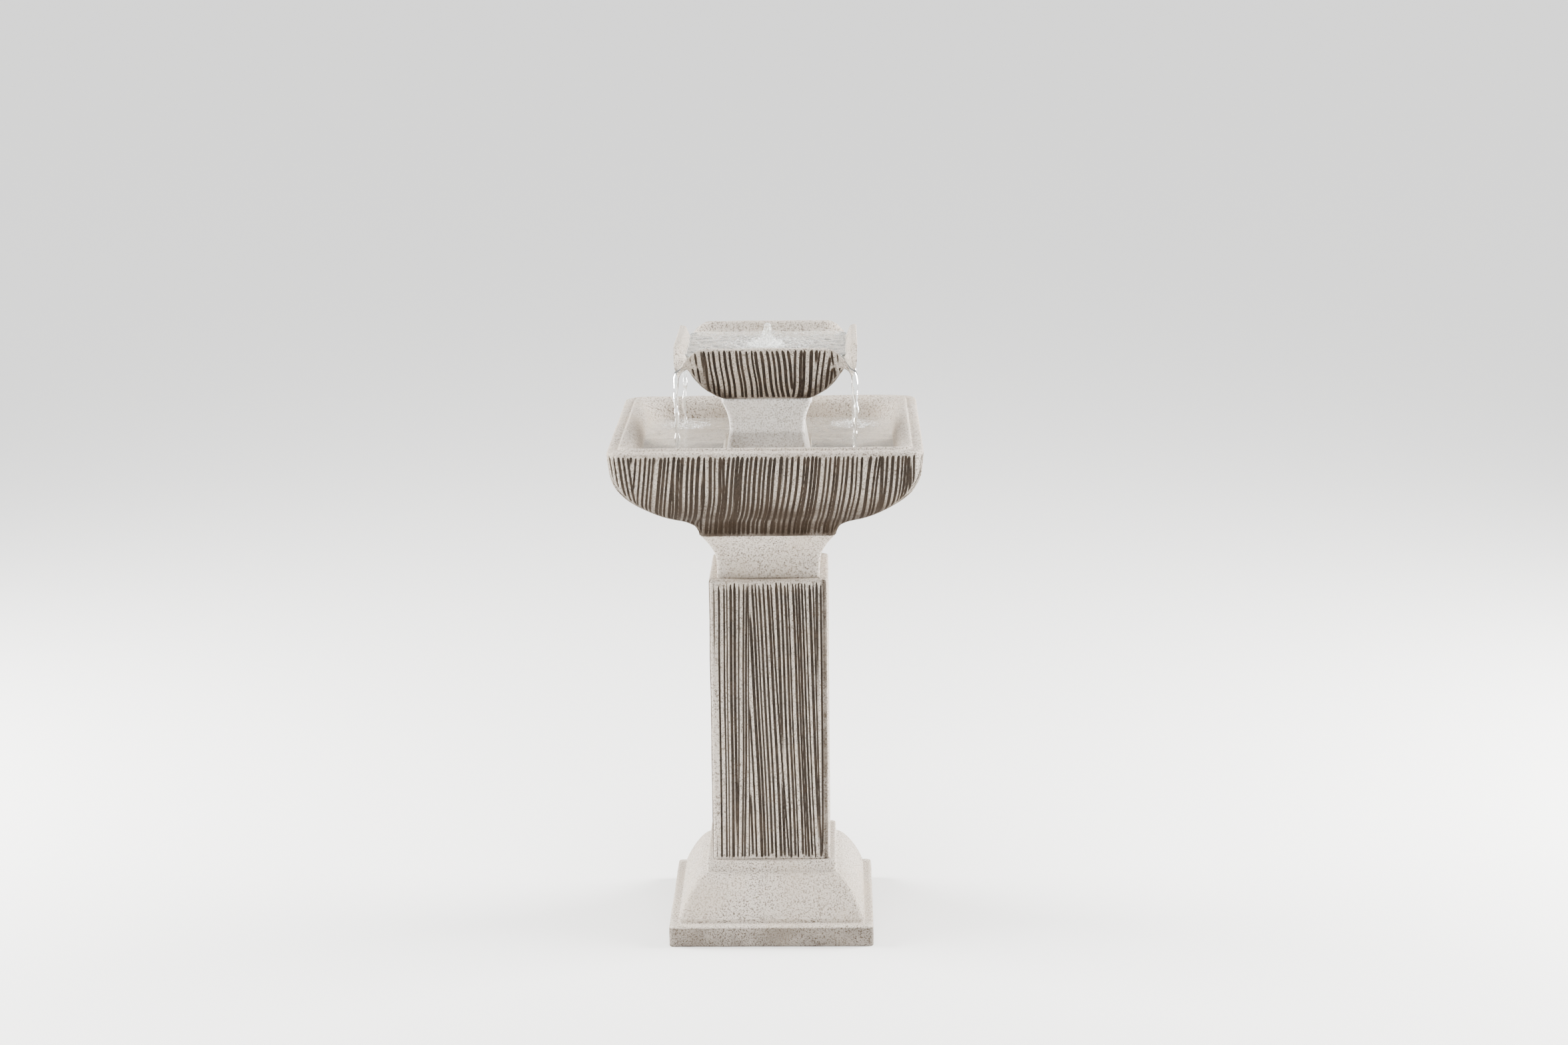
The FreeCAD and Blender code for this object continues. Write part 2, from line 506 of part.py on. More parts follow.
stemPieces = [
    cylinder("StemTail", cell("spigotRadius"), "Sizes.stemTail", "0", "0", stemLow),
    cylinder("StemThread", cell("threadRadius"), f"{washerTop} - {pillarTop} + Sizes.nutHeight",
             "0", "0", f"{pillarTop} - Sizes.nutHeight"),
    cylinder("StemFlange", cell("flangeRadius"), cell("flangeHeight"), "0", "0", washerTop),
    cylinder("StemTube", cell("stemRadius"), cell("stemRise"), "0", "0", flangeTop),
]
stemBore = cylinder("StemBoreTool", cell("stemBore"), "Sizes.pillarHeight", "0", "0", stemLow)
keep(without("NozzleStem", joined("StemBody", stemPieces), stemBore), "nozzle_stem")

nutBlock = doc.addObject("Part::Prism", "NutBlock")
nutBlock.Polygon = 6
nutBlock.setExpression("Circumradius", "Sizes.nutFlats / sqrt(3)")
nutBlock.setExpression("Height", cell("nutHeight"))
nutBlock.setExpression("Placement.Base.z", f"{pillarTop} - Sizes.nutHeight")
nutHole = cylinder("NutHole", "Sizes.threadRadius + 0.05", "Sizes.nutHeight * 3", "0", "0",
                   f"{pillarTop} - Sizes.nutHeight * 2")
keep(without("LockNut", nutBlock, nutHole), "bulkhead_nut")

nozzleLow = f"({flangeTop} + Sizes.stemRise - Sizes.nozzleLap)"
nozzleRadius = "(Sizes.stemRadius + Sizes.slideClearance + Sizes.nozzleWall)"
nozzleBarrel = cylinder("NozzleBarrel", nozzleRadius, cell("nozzleHeight"), "0", "0", nozzleLow)
nozzleBell = cone("NozzleBell", nozzleRadius, cell("nozzleBell"), "Sizes.nozzleHeight / 3", "0", "0",
                  f"{nozzleLow} + Sizes.nozzleHeight * 2 / 3")
nozzleSocket = cylinder("NozzleSocket", "Sizes.stemRadius + Sizes.slideClearance",
                        "Sizes.nozzleHeight - 2", "0", "0", nozzleLow)
nozzleJet = cylinder("NozzleJet", "Sizes.stemBore - 1", "Sizes.nozzleHeight * 2", "0", "0", nozzleLow)
keep(without("BubblerNozzle", joined("NozzleBody", [nozzleBarrel, nozzleBell]),
             joined("NozzleBores", [nozzleSocket, nozzleJet])), "bubbler_nozzle")

# ---------------------------------------------------------------- pump, axis along Y
# its outlet stands on the fountain's axis, above the middle of the impeller chamber
faceMargin = 0.6
faceLevel = f"(0 - Sizes.spigotRadius - {faceMargin})"
chamberBack = f"({faceLevel} + Sizes.chamberDepth)"
motorBack = f"({faceLevel} + Sizes.motorLength)"
spigotTop = f"({pumpTop} + Sizes.spigotHeight)"


def alongPump(name, radius, start, end, grow="0"):
    """A cylinder on the pump's axis between two places along Y."""
    return cylinder(name, radius, f"{end} - {start} + {grow}", "0", start, pumpAxis, "Y")


def pumpBlock(name, inset, start, end):
    """A block of the pump's section, inset by a wall, between two places along Y."""
    return box(name, f"Sizes.pumpWidth - 2 * ({inset})", f"{end} - {start}",
               f"Sizes.pumpHeight - 2 * ({inset})", "0", f"({start} + {end}) / 2",
               f"{pumpLow} + ({inset})")


def roundedBlock(name, inset, start, end, corner):
    """The same block with its four long edges rounded."""
    block = pumpBlock(name + "Block", inset, start, end)
    doc.recompute()
    rounded = doc.addObject("Part::Fillet", name)
    rounded.Base = block
    long = [index for index, edge in enumerate(block.Shape.Edges, start=1)
            if abs(edge.tangentAt(edge.FirstParameter).y) > 0.99]
    rounded.Edges = [(index, corner, corner) for index in long]
    return rounded


cornerRadius = size("pumpCorner")
wellEnd = f"({chamberBack} + Sizes.wellDepth - Sizes.chamberDepth)"
chamberEnd = f"({chamberBack} + Sizes.wellWall)"
motorRoom = pumpBlock("MotorRoom", cell("pumpShell"), chamberEnd, motorBack)
housingShell = without("HousingShell",
                       roundedBlock("HousingBlock", "0", faceLevel, motorBack, cornerRadius), motorRoom)
wellTube = alongPump("WellTube", "Sizes.wellRadius + Sizes.wellWall", chamberBack,
                     f"({wellEnd} + Sizes.wellWall)")
outletSpigot = cylinder("OutletSpigot", cell("spigotRadius"), "Sizes.spigotHeight + 1", "0", "0",
                        f"{pumpTop} - 1")
housingTools = joined("HousingTools", [
    alongPump("ChamberTool", cell("chamberRadius"), faceLevel, chamberBack),
    alongPump("WellTool", cell("wellRadius"), faceLevel, wellEnd),
    cylinder("OutletTool", cell("stemBore"), f"{spigotTop} - {pumpAxis}", "0", "0", pumpAxis),
])
keep(without("PumpHousing", joined("HousingBody", [housingShell, wellTube, outletSpigot]),
             housingTools), "pump_housing")

capStart = f"({motorBack} - Sizes.endCapThick)"
endCap = pumpBlock("EndCapBlock", "Sizes.pumpShell + 0.05", capStart, motorBack)
glandHole = cylinder("GlandHole", "Sizes.cableBore + 1.5", "Sizes.endCapThick * 3", "0",
                     f"{capStart} - Sizes.endCapThick", pumpAxis, "Y")
keep(without("MotorEndCap", endCap, glandHole), "motor_end_cap")
glandSleeve = cylinder("GlandSleeve", "Sizes.cableBore + 1.45", "Sizes.endCapThick + 1", "0",
                       capStart, pumpAxis, "Y")
glandNose = cylinder("GlandNose", "Sizes.cableBore + 2.2", "4", "0", motorBack, pumpAxis, "Y")
glandBore = cylinder("GlandBore", cell("cableBore"), "Sizes.endCapThick * 6", "0",
                     f"{capStart} - Sizes.endCapThick", pumpAxis, "Y")
keep(without("CableGland", joined("GlandBody", [glandSleeve, glandNose]), glandBore),
     "pump_cable_gland")

# the stator: a U of laminations whose legs stand beside the rotor well, with a coil round its yoke
coreStart = f"({chamberEnd} + 1.5)"
coreEnd = f"({coreStart} + Sizes.coreLength)"
coreMiddle = f"(({coreStart} + {coreEnd}) / 2)"
wellOutside = "(Sizes.wellRadius + Sizes.wellWall + 0.3)"
coreHalf = f"({wellOutside} + Sizes.coreThick)"
yokeLow = f"({pumpLow} + Sizes.pumpShell + 2)"
legTop = f"({pumpAxis} + Sizes.wellRadius)"
coreBlock = box("CoreBlock", f"2 * {coreHalf}", cell("coreLength"), f"{legTop} - {yokeLow}", "0",
                coreMiddle, yokeLow)
yokeThick = "(Sizes.coreThick - 2)"
coreWindow = box("CoreWindow", f"2 * {wellOutside}", "Sizes.coreLength * 2",
                 f"{legTop} - {yokeLow}", "0", coreMiddle, f"{yokeLow} + {yokeThick}")
keep(without("StatorCore", coreBlock, coreWindow), "stator_core")
coilWrap = 1.2
coilOuter = box("CoilOuter", f"2 * {wellOutside} - 1", f"Sizes.coreLength + {2 * coilWrap}",
                f"{yokeThick} + {2 * coilWrap}", "0", coreMiddle, f"{yokeLow} - {coilWrap}")
coilInner = box("CoilInner", f"2 * {wellOutside} + 1", "Sizes.coreLength", yokeThick, "0",
                coreMiddle, yokeLow)
keep(without("StatorCoil", coilOuter, coilInner), "stator_coil")

# rotor: magnet and impeller wheel turn on a fixed ceramic shaft
shaftBore = "(Sizes.shaftRadius + Sizes.shaftClearance)"
wheelStart = "(0 - Sizes.bladeHeight / 2)"
wheelDiscStart = "(Sizes.bladeHeight / 2)"
wheelEnd = f"({wheelDiscStart} + 1.5)"
hubEnd = f"({chamberEnd} - 0.5)"
magnetEnd = f"({hubEnd} + Sizes.magnetLength)"
magnet = alongPump("MagnetRod", cell("magnetRadius"), hubEnd, magnetEnd)
magnetBore = alongPump("MagnetBore", shaftBore, faceLevel, "Sizes.motorLength")
keep(without("RotorMagnet", magnet, magnetBore), "impeller_magnet")

bladeThick = 1.6
wheelPieces = [alongPump("WheelDisc", cell("wheelRadius"), wheelDiscStart, wheelEnd),
               alongPump("WheelHub", "Sizes.shaftRadius + 2.5", wheelStart, hubEnd)]
for blade in range(int(size("bladeCount"))):
    vane = doc.addObject("Part::Box", f"Blade{blade}")
    turn = FreeCAD.Rotation(FreeCAD.Vector(0, 1, 0), 360 * blade / size("bladeCount"))
    inner = turn.multVec(FreeCAD.Vector(size("shaftRadius") + 1, 0, -bladeThick / 2))
    vane.setExpression("Length", "Sizes.wheelRadius - Sizes.shaftRadius - 1.2")
    vane.Height = bladeThick
    vane.setExpression("Width", f"{cell('bladeHeight')} + 0.5")
    vane.Placement = FreeCAD.Placement(inner, turn)
    vane.setExpression("Placement.Base.y", wheelStart)
    vane.setExpression("Placement.Base.z", f"{pumpAxis} + {inner.z:.4f}")
    wheelPieces.append(vane)
wheelBore = alongPump("WheelBore", shaftBore, faceLevel, "Sizes.motorLength")
keep(without("ImpellerWheel", joined("WheelBody", wheelPieces), wheelBore), "impeller_wheel")

# the shaft's ends sit in a rubber bush at each end: one in the cover, one at the well's bottom
gasketStart = f"({faceLevel} - Sizes.gasketThick)"
coverStart = f"({gasketStart} - Sizes.coverThick)"
shaftStart = f"({coverStart} + 0.5)"
bushRearStart = f"({wellEnd} - Sizes.bushLength)"
keep(alongPump("ImpellerShaft", cell("shaftRadius"), shaftStart, f"({wellEnd} - 0.5)"),
     "impeller_shaft")
rearBush = alongPump("RearBushBody", "Sizes.wellRadius - 0.02", bushRearStart, wellEnd)
rearBushBore = alongPump("RearBushBore", cell("shaftRadius"), faceLevel, f"({wellEnd} - 0.5)")
keep(without("RearBush", rearBush, rearBushBore), "shaft_bush_rear")
frontBush = alongPump("FrontBushBody", cell("bushRadius"), coverStart, gasketStart)
frontBushBore = alongPump("FrontBushBore", cell("shaftRadius"), shaftStart, "Sizes.motorLength")
keep(without("FrontBush", frontBush, frontBushBore), "shaft_bush_front")

coverRadius = "(Sizes.pumpWidth / 2 - Sizes.strainerWall)"
gasketDisc = alongPump("GasketDisc", coverRadius, gasketStart, faceLevel)
gasketHole = alongPump("GasketHole", "Sizes.chamberRadius + 1.5", coverStart, "Sizes.motorLength")
keep(without("CoverGasket", gasketDisc, gasketHole), "cover_gasket")

# the impeller cover: a disc with an annular inlet, crossed by three arms that carry the front bush
coverDisc = alongPump("CoverDisc", coverRadius, coverStart, gasketStart)
coverInlet = alongPump("CoverInlet", cell("inletRadius"), f"({coverStart} - 1)", "Sizes.motorLength")
coverRing = without("CoverRing", coverDisc, coverInlet)
coverPieces = [coverRing, alongPump("CoverHub", "Sizes.bushRadius + 1.6", coverStart, gasketStart)]
armThick = 2.0
for arm in range(3):
    spoke = doc.addObject("Part::Box", f"CoverArm{arm}")
    turn = FreeCAD.Rotation(FreeCAD.Vector(0, 1, 0), 90 + 120 * arm)
    inner = turn.multVec(FreeCAD.Vector(size("bushRadius") + 0.5, 0, -armThick / 2))
    spoke.setExpression("Length", "Sizes.inletRadius - Sizes.bushRadius + 0.5")
    spoke.Height = armThick
    spoke.setExpression("Width", cell("coverThick"))
    spoke.Placement = FreeCAD.Placement(inner, turn)
    spoke.setExpression("Placement.Base.y", coverStart)
    spoke.setExpression("Placement.Base.z", f"{pumpAxis} + {inner.z:.4f}")
    coverPieces.append(spoke)
bushSeat = alongPump("BushSeat", "Sizes.bushRadius + 0.02", f"({coverStart} - 1)", "Sizes.motorLength")
keep(without("ImpellerCover", joined("CoverBody", coverPieces), bushSeat), "impeller_cover")

# the strainer: a slotted cap that pulls off the front, with the flow dial in its face
strainerStart = f"({faceLevel} - Sizes.strainerDepth)"
strainerRoom = pumpBlock("StrainerRoom", cell("strainerWall"),
                         f"({strainerStart} + Sizes.strainerWall)", f"({faceLevel} + 1)")
strainerShell = without("StrainerShell",
                        roundedBlock("StrainerBlock", "0", strainerStart, faceLevel, cornerRadius),
                        strainerRoom)
slotCount = int(size("strainerSlots"))
slotPitch = f"((Sizes.pumpWidth - 6 * Sizes.strainerWall) / {slotCount})"
slots = []
for place in range(slotCount):
    across = f"{slotPitch} * {place - (slotCount - 1) / 2}"
    for half, level in (("Low", f"{pumpLow} + Sizes.strainerWall * 2"),
                        ("High", f"{pumpAxis} + Sizes.dialRadius + 1.5")):
        slots.append(box(f"Slot{half}{place}", cell("slotWidth"), "Sizes.strainerWall * 4",
                         "Sizes.pumpHeight / 2 - Sizes.dialRadius - 1.5 - Sizes.strainerWall * 2",
                         across, f"({strainerStart} + Sizes.strainerWall)", level))
dialHole = cylinder("DialHole", "Sizes.dialPin + 0.05", "Sizes.strainerWall * 3", "0",
                    f"{strainerStart} - Sizes.strainerWall", pumpAxis, "Y")
dialPort = cylinder("DialPort", "Sizes.dialPin", "Sizes.strainerWall * 3", "Sizes.dialRadius * 0.6",
                    f"{strainerStart} - Sizes.strainerWall", pumpAxis, "Y")
keep(without("StrainerCover", strainerShell, joined("StrainerHoles", slots + [dialHole, dialPort])),
     "strainer_cover")

dialStart = f"({strainerStart} - Sizes.dialThick)"
shutterStart = f"({strainerStart} + Sizes.strainerWall + 0.2)"
dialDisc = alongPump("DialDisc", cell("dialRadius"), dialStart, f"({strainerStart} - 0.2)")
dialGrip = box("DialGrip", "Sizes.dialRadius * 1.5", "2.5", "2.5", "0", f"({dialStart} - 1)",
               f"{pumpAxis} - 1.25")
dialSpindle = alongPump("DialSpindle", cell("dialPin"), dialStart, f"({shutterStart} + 1.5)")
shutter = alongPump("Shutter", "Sizes.dialRadius - 0.5", shutterStart, f"({shutterStart} + 1.5)")
dialBody = joined("DialBody", [dialDisc, dialGrip, dialSpindle, shutter])
dialWindow = cylinder("DialWindow", cell("dialPin"), "Sizes.strainerWall * 8",
                      "Sizes.dialRadius * 0.6", f"{dialStart} - Sizes.strainerWall * 2", pumpAxis, "Y")
keep(without("FlowDial", dialBody, dialWindow), "flow_dial")

# four suction feet under the pump, and the tube from its outlet to the top bowl
footInset = 6.0
footPieces = []
for sideX in (-1, 1):
    for alongY in (0, 1):
        x = f"({sideX} * (Sizes.pumpWidth / 2 - {footInset + 1}))"
        y = f"({faceLevel} + {footInset} + {alongY} * (Sizes.motorLength - {2 * footInset}))"
        name = f"Foot{len(footPieces)}"
        cup = cone(name + "Cup", "6.5", "2.5", "Sizes.feetHeight * 0.6", x, y, basinFloor)
        hollow = cone(name + "Hollow", "5", "1", "Sizes.feetHeight * 0.4", x, y, basinFloor)
        post = cylinder(name + "Post", "2.5", "Sizes.feetHeight * 0.5", x, y,
                        f"{pumpLow} - Sizes.feetHeight * 0.5")
        footPieces.append(without(name, joined(name + "Body", [cup, post]), hollow))
suctionFeet = doc.addObject("Part::Compound", "SuctionFeet")
suctionFeet.Links = footPieces
keep(suctionFeet, "suction_feet")

tubeLow = f"({spigotTop} - Sizes.tubeLap)"
tubeHigh = f"({stemLow} + Sizes.tubeLap)"
tubeInside = "(Sizes.spigotRadius + 0.05)"
tubeOuter = cylinder("TubeOuter", f"{tubeInside} + Sizes.tubeWall", f"{tubeHigh} - {tubeLow}", "0",
                     "0", tubeLow)
tubeInner = cylinder("TubeInner", tubeInside, "Sizes.pillarHeight", "0", "0", f"{tubeLow} - 1")
keep(without("RiserTube", tubeOuter, tubeInner), "riser_tube")

# ---------------------------------------------------------------- checks and export
doc.recompute()
for item in doc.Objects:
    if "Invalid" in item.State or "Error" in item.State:
        raise RuntimeError(f"{item.Name} failed: {item.State}")
for node in nodes:
    shape = node.Shape
    if shape.isNull() or not shape.isValid() or not shape.Solids:
        raise RuntimeError(f"{node.Label} has no valid solid")

os.makedirs("parts", exist_ok=True)
for node in nodes:
    node.Shape.exportStep(os.path.join("parts", node.Label + ".step"))
    extent = node.Shape.BoundBox
    print(f"{node.Label:20s} solids {len(node.Shape.Solids)}  volume {node.Shape.Volume:12.1f}  "
          f"x {extent.XMin:7.1f} {extent.XMax:7.1f}  y {extent.YMin:7.1f} {extent.YMax:7.1f}  "
          f"z {extent.ZMin:7.1f} {extent.ZMax:7.1f}")
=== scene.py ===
import json
import math

import bpy
import numpy as np
from mathutils import Matrix, Vector


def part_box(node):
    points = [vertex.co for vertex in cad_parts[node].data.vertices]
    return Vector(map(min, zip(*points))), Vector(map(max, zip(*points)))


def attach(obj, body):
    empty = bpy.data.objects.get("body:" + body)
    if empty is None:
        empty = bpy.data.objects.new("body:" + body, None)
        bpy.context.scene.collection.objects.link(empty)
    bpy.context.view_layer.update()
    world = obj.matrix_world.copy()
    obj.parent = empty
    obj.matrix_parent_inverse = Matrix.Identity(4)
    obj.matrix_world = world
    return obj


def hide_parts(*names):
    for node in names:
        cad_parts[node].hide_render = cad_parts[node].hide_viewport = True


# A two-tier pedestal fountain in cast stone, with running water.  The castings are square rings
# stacked along a profile; everything is worked out in millimetres and put into the mesh in metres.

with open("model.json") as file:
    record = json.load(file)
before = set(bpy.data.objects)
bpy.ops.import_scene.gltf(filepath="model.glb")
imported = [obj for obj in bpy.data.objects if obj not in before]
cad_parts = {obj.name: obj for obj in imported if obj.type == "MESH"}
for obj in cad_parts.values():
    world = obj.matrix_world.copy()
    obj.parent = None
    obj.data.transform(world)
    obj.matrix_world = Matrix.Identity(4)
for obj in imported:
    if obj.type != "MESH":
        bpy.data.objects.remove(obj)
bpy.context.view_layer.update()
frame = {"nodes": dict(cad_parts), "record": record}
metre = 0.001


def extent(node):
    # lowest and highest corner of a CAD node, in millimetres
    low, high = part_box(node)
    return np.array(low) / metre, np.array(high) / metre


def levels(node):
    # lowest and highest level of a CAD node, in millimetres
    low, high = extent(node)
    return low[2], high[2]


def take(values, names):
    # the values that belong to the names, for unpacking
    return [values[name] for name in names.split()]


def addObject(name, data):
    # a new object in the scene
    item = bpy.data.objects.new(name, data)
    bpy.context.scene.collection.objects.link(item)
    return item


slabLow, ribTop = levels("base_plinth")
columnLow, columnTop = levels("pedestal_column")
bowlLow, bowlTop = levels("main_bowl")
basinFloor, pillarTop = levels("upper_pedestal")
dishLow, dishTop = levels("top_bowl")
dishFloor = levels("bulkhead_washer")[0]
waterLevel = {"basin": bowlTop - 26.5, "dish": dishTop - 12.2}
print("frame loaded, water stands at", waterLevel)


# ---- camera, floor and light ----
cameraPlace = {"spot": (87.0, -3748.0, 1387.0), "yaw": -1.03, "pitch": -12.79, "roll": -0.59, "lens": 67.59}


def makeCamera(place):
    # yaw turns from straight ahead to the right, pitch tips up, roll turns about the line of sight:
    # forward = (sin yaw cos pitch, cos yaw cos pitch, sin pitch)
    yaw, pitch, roll = (math.radians(place[key]) for key in ("yaw", "pitch", "roll"))
    forward = Vector((math.sin(yaw) * math.cos(pitch), math.cos(yaw) * math.cos(pitch), math.sin(pitch)))
    right = Vector((math.cos(yaw), -math.sin(yaw), 0))
    up = right.cross(forward)
    rightTurned = math.cos(roll) * right + math.sin(roll) * up
    upTurned = math.cos(roll) * up - math.sin(roll) * right
    data = bpy.data.cameras.new("camera")
    data.lens = place["lens"]
    data.sensor_width = 36
    data.clip_end = 200
    camera = addObject("camera", data)
    turned = Matrix((rightTurned, upTurned, -forward)).transposed()
    camera.matrix_world = Matrix.Translation(Vector(place["spot"]) * metre) @ turned.to_4x4()
    bpy.context.scene.camera = camera


def makeLight(name, spot, aim, width, height, watts, colour=(1, 1, 1)):
    # a rectangular lamp at a spot, turned to its aim
    data = bpy.data.lights.new(name, "AREA")
    data.shape = "RECTANGLE"
    data.size, data.size_y = width, height
    data.energy = watts
    data.color = colour
    light = addObject(name, data)
    light.location = spot
    light.rotation_euler = (Vector(aim) - Vector(spot)).to_track_quat("-Z", "Y").to_euler()


def makeSun(name, towards, strength, softness):
    # a wide soft light from the direction `towards`, even over the whole floor
    data = bpy.data.lights.new(name, "SUN")
    data.energy = strength
    data.angle = math.radians(softness)
    light = addObject(name, data)
    light.rotation_euler = Vector(towards).to_track_quat("Z", "Y").to_euler()


def plainMaterial(name, colour, roughness):
    material = bpy.data.materials.new(name)
    material.use_nodes = True
    shader = material.node_tree.nodes["Principled BSDF"]
    shader.inputs["Base Color"].default_value = (*colour, 1)
    shader.inputs["Roughness"].default_value = roughness
    return material


def makeFloor():
    # a large pale square at level 0
    mesh = bpy.data.meshes.new("floor")
    reach = 60
    mesh.from_pydata([(-reach, -reach, 0), (reach, -reach, 0), (reach, reach, 0), (-reach, reach, 0)],
                     [], [(0, 1, 2, 3)])
    mesh.materials.append(plainMaterial("paleFloor", (0.93, 0.93, 0.92), 0.9))
    floor = addObject("floor", mesh)


studio = {"background": (1.0, 0.995, 0.985), "seen": 12.0, "ambient": 0.37}


def makeWorld(values):
    # the camera sees a bright backdrop, while the object gets only the ambient share of it
    world = bpy.data.worlds.new("studio")
    bpy.context.scene.world = world
    world.use_nodes = True
    tree = world.node_tree
    background = tree.nodes["Background"]
    background.inputs["Color"].default_value = (*values["background"], 1)
    rays = tree.nodes.new("ShaderNodeLightPath")
    strength = tree.nodes.new("ShaderNodeMapRange")
    strength.inputs["To Min"].default_value = values["ambient"]
    strength.inputs["To Max"].default_value = values["seen"]
    tree.links.new(rays.outputs["Is Camera Ray"], strength.inputs["Value"])
    tree.links.new(strength.outputs["Result"], background.inputs["Strength"])


makeWorld(studio)
makeCamera(cameraPlace)
makeFloor()
makeSun("skylight", (-0.15, -0.35, 1.9), 3.9, 45)
makeSun("frontFill", (0.15, -1.0, 0.35), 1.9, 50)
makeLight("leftRim", (-2.3, 0.35, 1.25), (0, 0, 0.45), 1.2, 1.8, 240, (1.0, 0.985, 0.96))
makeLight("rightRim", (2.3, 0.35, 1.25), (0, 0, 0.45), 1.2, 1.8, 280, (1.0, 0.985, 0.96))
print("camera, floor and lights placed")


# ---- shape tools ----
def smoothStep(low, high, value):
    # 0 at `low`, 1 at `high`, and s^2 (3 - 2 s) at the share s of the way from one to the other
    share = np.clip((value - low) / (high - low), 0, 1)
    return share * share * (3 - 2 * share)


def smoothCurve(points, spacing):
    # a curve through the points: on each span a cubic whose end slopes come from the points beside
    points = np.array(points, float)
    gaps = np.linalg.norm(np.diff(points, axis=0), axis=1)
    place = np.concatenate([[0], np.cumsum(gaps)])
    slopes = np.gradient(points, place, axis=0)
    count = max(int(round(place[-1] / spacing)), len(points) - 1) + 1
    at = np.linspace(0, place[-1], count)
    span = np.clip(np.searchsorted(place, at, side="right") - 1, 0, len(gaps) - 1)
    length = gaps[span][:, None]
    share = ((at - place[span]) / gaps[span])[:, None]
    start, end = points[span], points[span + 1]
    leave, arrive = slopes[span] * length, slopes[span + 1] * length
    return (start * (1 + 2 * share) * (1 - share) ** 2 + leave * share * (1 - share) ** 2
            + end * share ** 2 * (3 - 2 * share) + arrive * share ** 2 * (share - 1))


def shifted(points, out, up=0.0):
    # an outline moved outwards and upwards
    return np.array(points, float) + (out, up)


def straightRun(points, spacing):
    # the points joined by straight spans, each cut into steps no longer than the spacing
    points = np.array(points, float)
    pieces = [points[:1]]
    for start, end in zip(points[:-1], points[1:]):
        steps = max(int(math.ceil(np.linalg.norm(end - start) / spacing)), 1)
        share = np.linspace(0, 1, steps + 1)[1:, None]
        pieces.append(start + (end - start) * share)
    return np.concatenate(pieces)


def waves(points, size, seed):
    # a gentle unevenness, mostly between -1 and 1: the sum of nine sine waves about `size` long
    random = np.random.default_rng(seed)
    terms = 9
    total = np.zeros(points.shape[:-1])
    for term in range(terms):
        direction = random.normal(size=3)
        direction *= 2 * math.pi / (size * random.uniform(0.7, 1.6) * np.linalg.norm(direction))
        total += np.sin(points @ direction + random.uniform(0, 2 * math.pi))
    return total / math.sqrt(terms * 2)


class Profile:
    # rows of a casting: half width, corner radius, level, whether its columns are fine, and
    # whether they keep even distances (straight) or spread with the width
    def __init__(self):
        self.half, self.corner, self.level, self.fine, self.straight = [], [], [], [], []

    def line(self, points, spacing, corner, **kinds):
        self.add(straightRun(points, spacing), corner, **kinds)

    def bend(self, points, spacing, corner, **kinds):
        self.add(smoothCurve(points, spacing), corner, **kinds)

    def add(self, run, corner, fine=False, straight=False):
        run = np.asarray(run, float)
        radius = np.broadcast_to(corner(run[:, 0]) if callable(corner) else corner, len(run))
        self.half.extend(run[:, 0])
        self.corner.extend(np.minimum(radius, run[:, 0]))
        self.level.extend(run[:, 1])
        self.fine.extend([fine] * len(run))
        self.straight.extend([straight] * len(run))

    def arrays(self):
        names = ("half", "corner", "level", "fine", "straight")
        return [np.array(getattr(self, name)) for name in names]


def castGrid(profile, count, closed):
    # Points, outward directions and vertex table of a square casting.  A side has `count` columns.
    # On a straight row a column keeps its distance along the side and, past the mitre, shares the
    # corner's vertex; a coarse row uses every fourth column.
    half, corner, level, fine, straight = profile.arrays()
    rows = len(half)
    flat = half - corner
    reach = flat + corner * math.pi / 4
    share = np.linspace(-1, 1, count + 1)
    along = np.where(straight[:, None], reach.max() * share, reach[:, None] * share)
    along = np.clip(along, -reach[:, None], reach[:, None])
    turn = np.clip((np.abs(along) - flat[:, None]) / np.maximum(corner, 1e-6)[:, None], 0, math.pi / 4)
    sign = np.sign(along)
    x = sign * (np.minimum(np.abs(along), flat[:, None]) + corner[:, None] * np.sin(turn))
    y = -(flat[:, None] + corner[:, None] * np.cos(turn))
    step = np.arange(count + 1)
    snap = np.where(fine[:, None], step, 4 * ((step + 2) // 4))
    snapped = np.take_along_axis(along, snap, axis=1)
    target = np.where(snapped <= -reach[:, None] + 1e-6, 0,
                      np.where(snapped >= reach[:, None] - 1e-6, count, snap))[:, :count]

    if closed:
        around = lambda values: np.roll(values, -1) - np.roll(values, 1)
        outward, upward = around(level), -around(half)
    else:
        outward, upward = np.gradient(level), -np.gradient(half)
    length = np.maximum(np.hypot(outward, upward), 1e-9)
    outward, upward = (outward / length)[:, None], (upward / length)[:, None]
    sideways, ahead = sign * np.sin(turn), -np.cos(turn)

    points = np.zeros((rows, 4, count, 3))
    normals = np.zeros((rows, 4, count, 3))
    table = np.zeros((rows, 4, count), int)
    for side in range(4):
        cosine, sine = round(math.cos(side * math.pi / 2)), round(math.sin(side * math.pi / 2))
        for array, px, py in ((points, x, y), (normals, sideways * outward, ahead * outward)):
            array[:, side, :, 0] = (px * cosine - py * sine)[:, :count]
            array[:, side, :, 1] = (px * sine + py * cosine)[:, :count]
        points[:, side, :, 2] = level[:, None]
        normals[:, side, :, 2] = upward
        table[:, side] = (side * count + target) % (4 * count)
    table = table.reshape(rows, 4 * count) + np.arange(rows)[:, None] * 4 * count
    return (points.reshape(rows, 4 * count, 3), normals.reshape(rows, 4 * count, 3), table,
            along[:, :count])


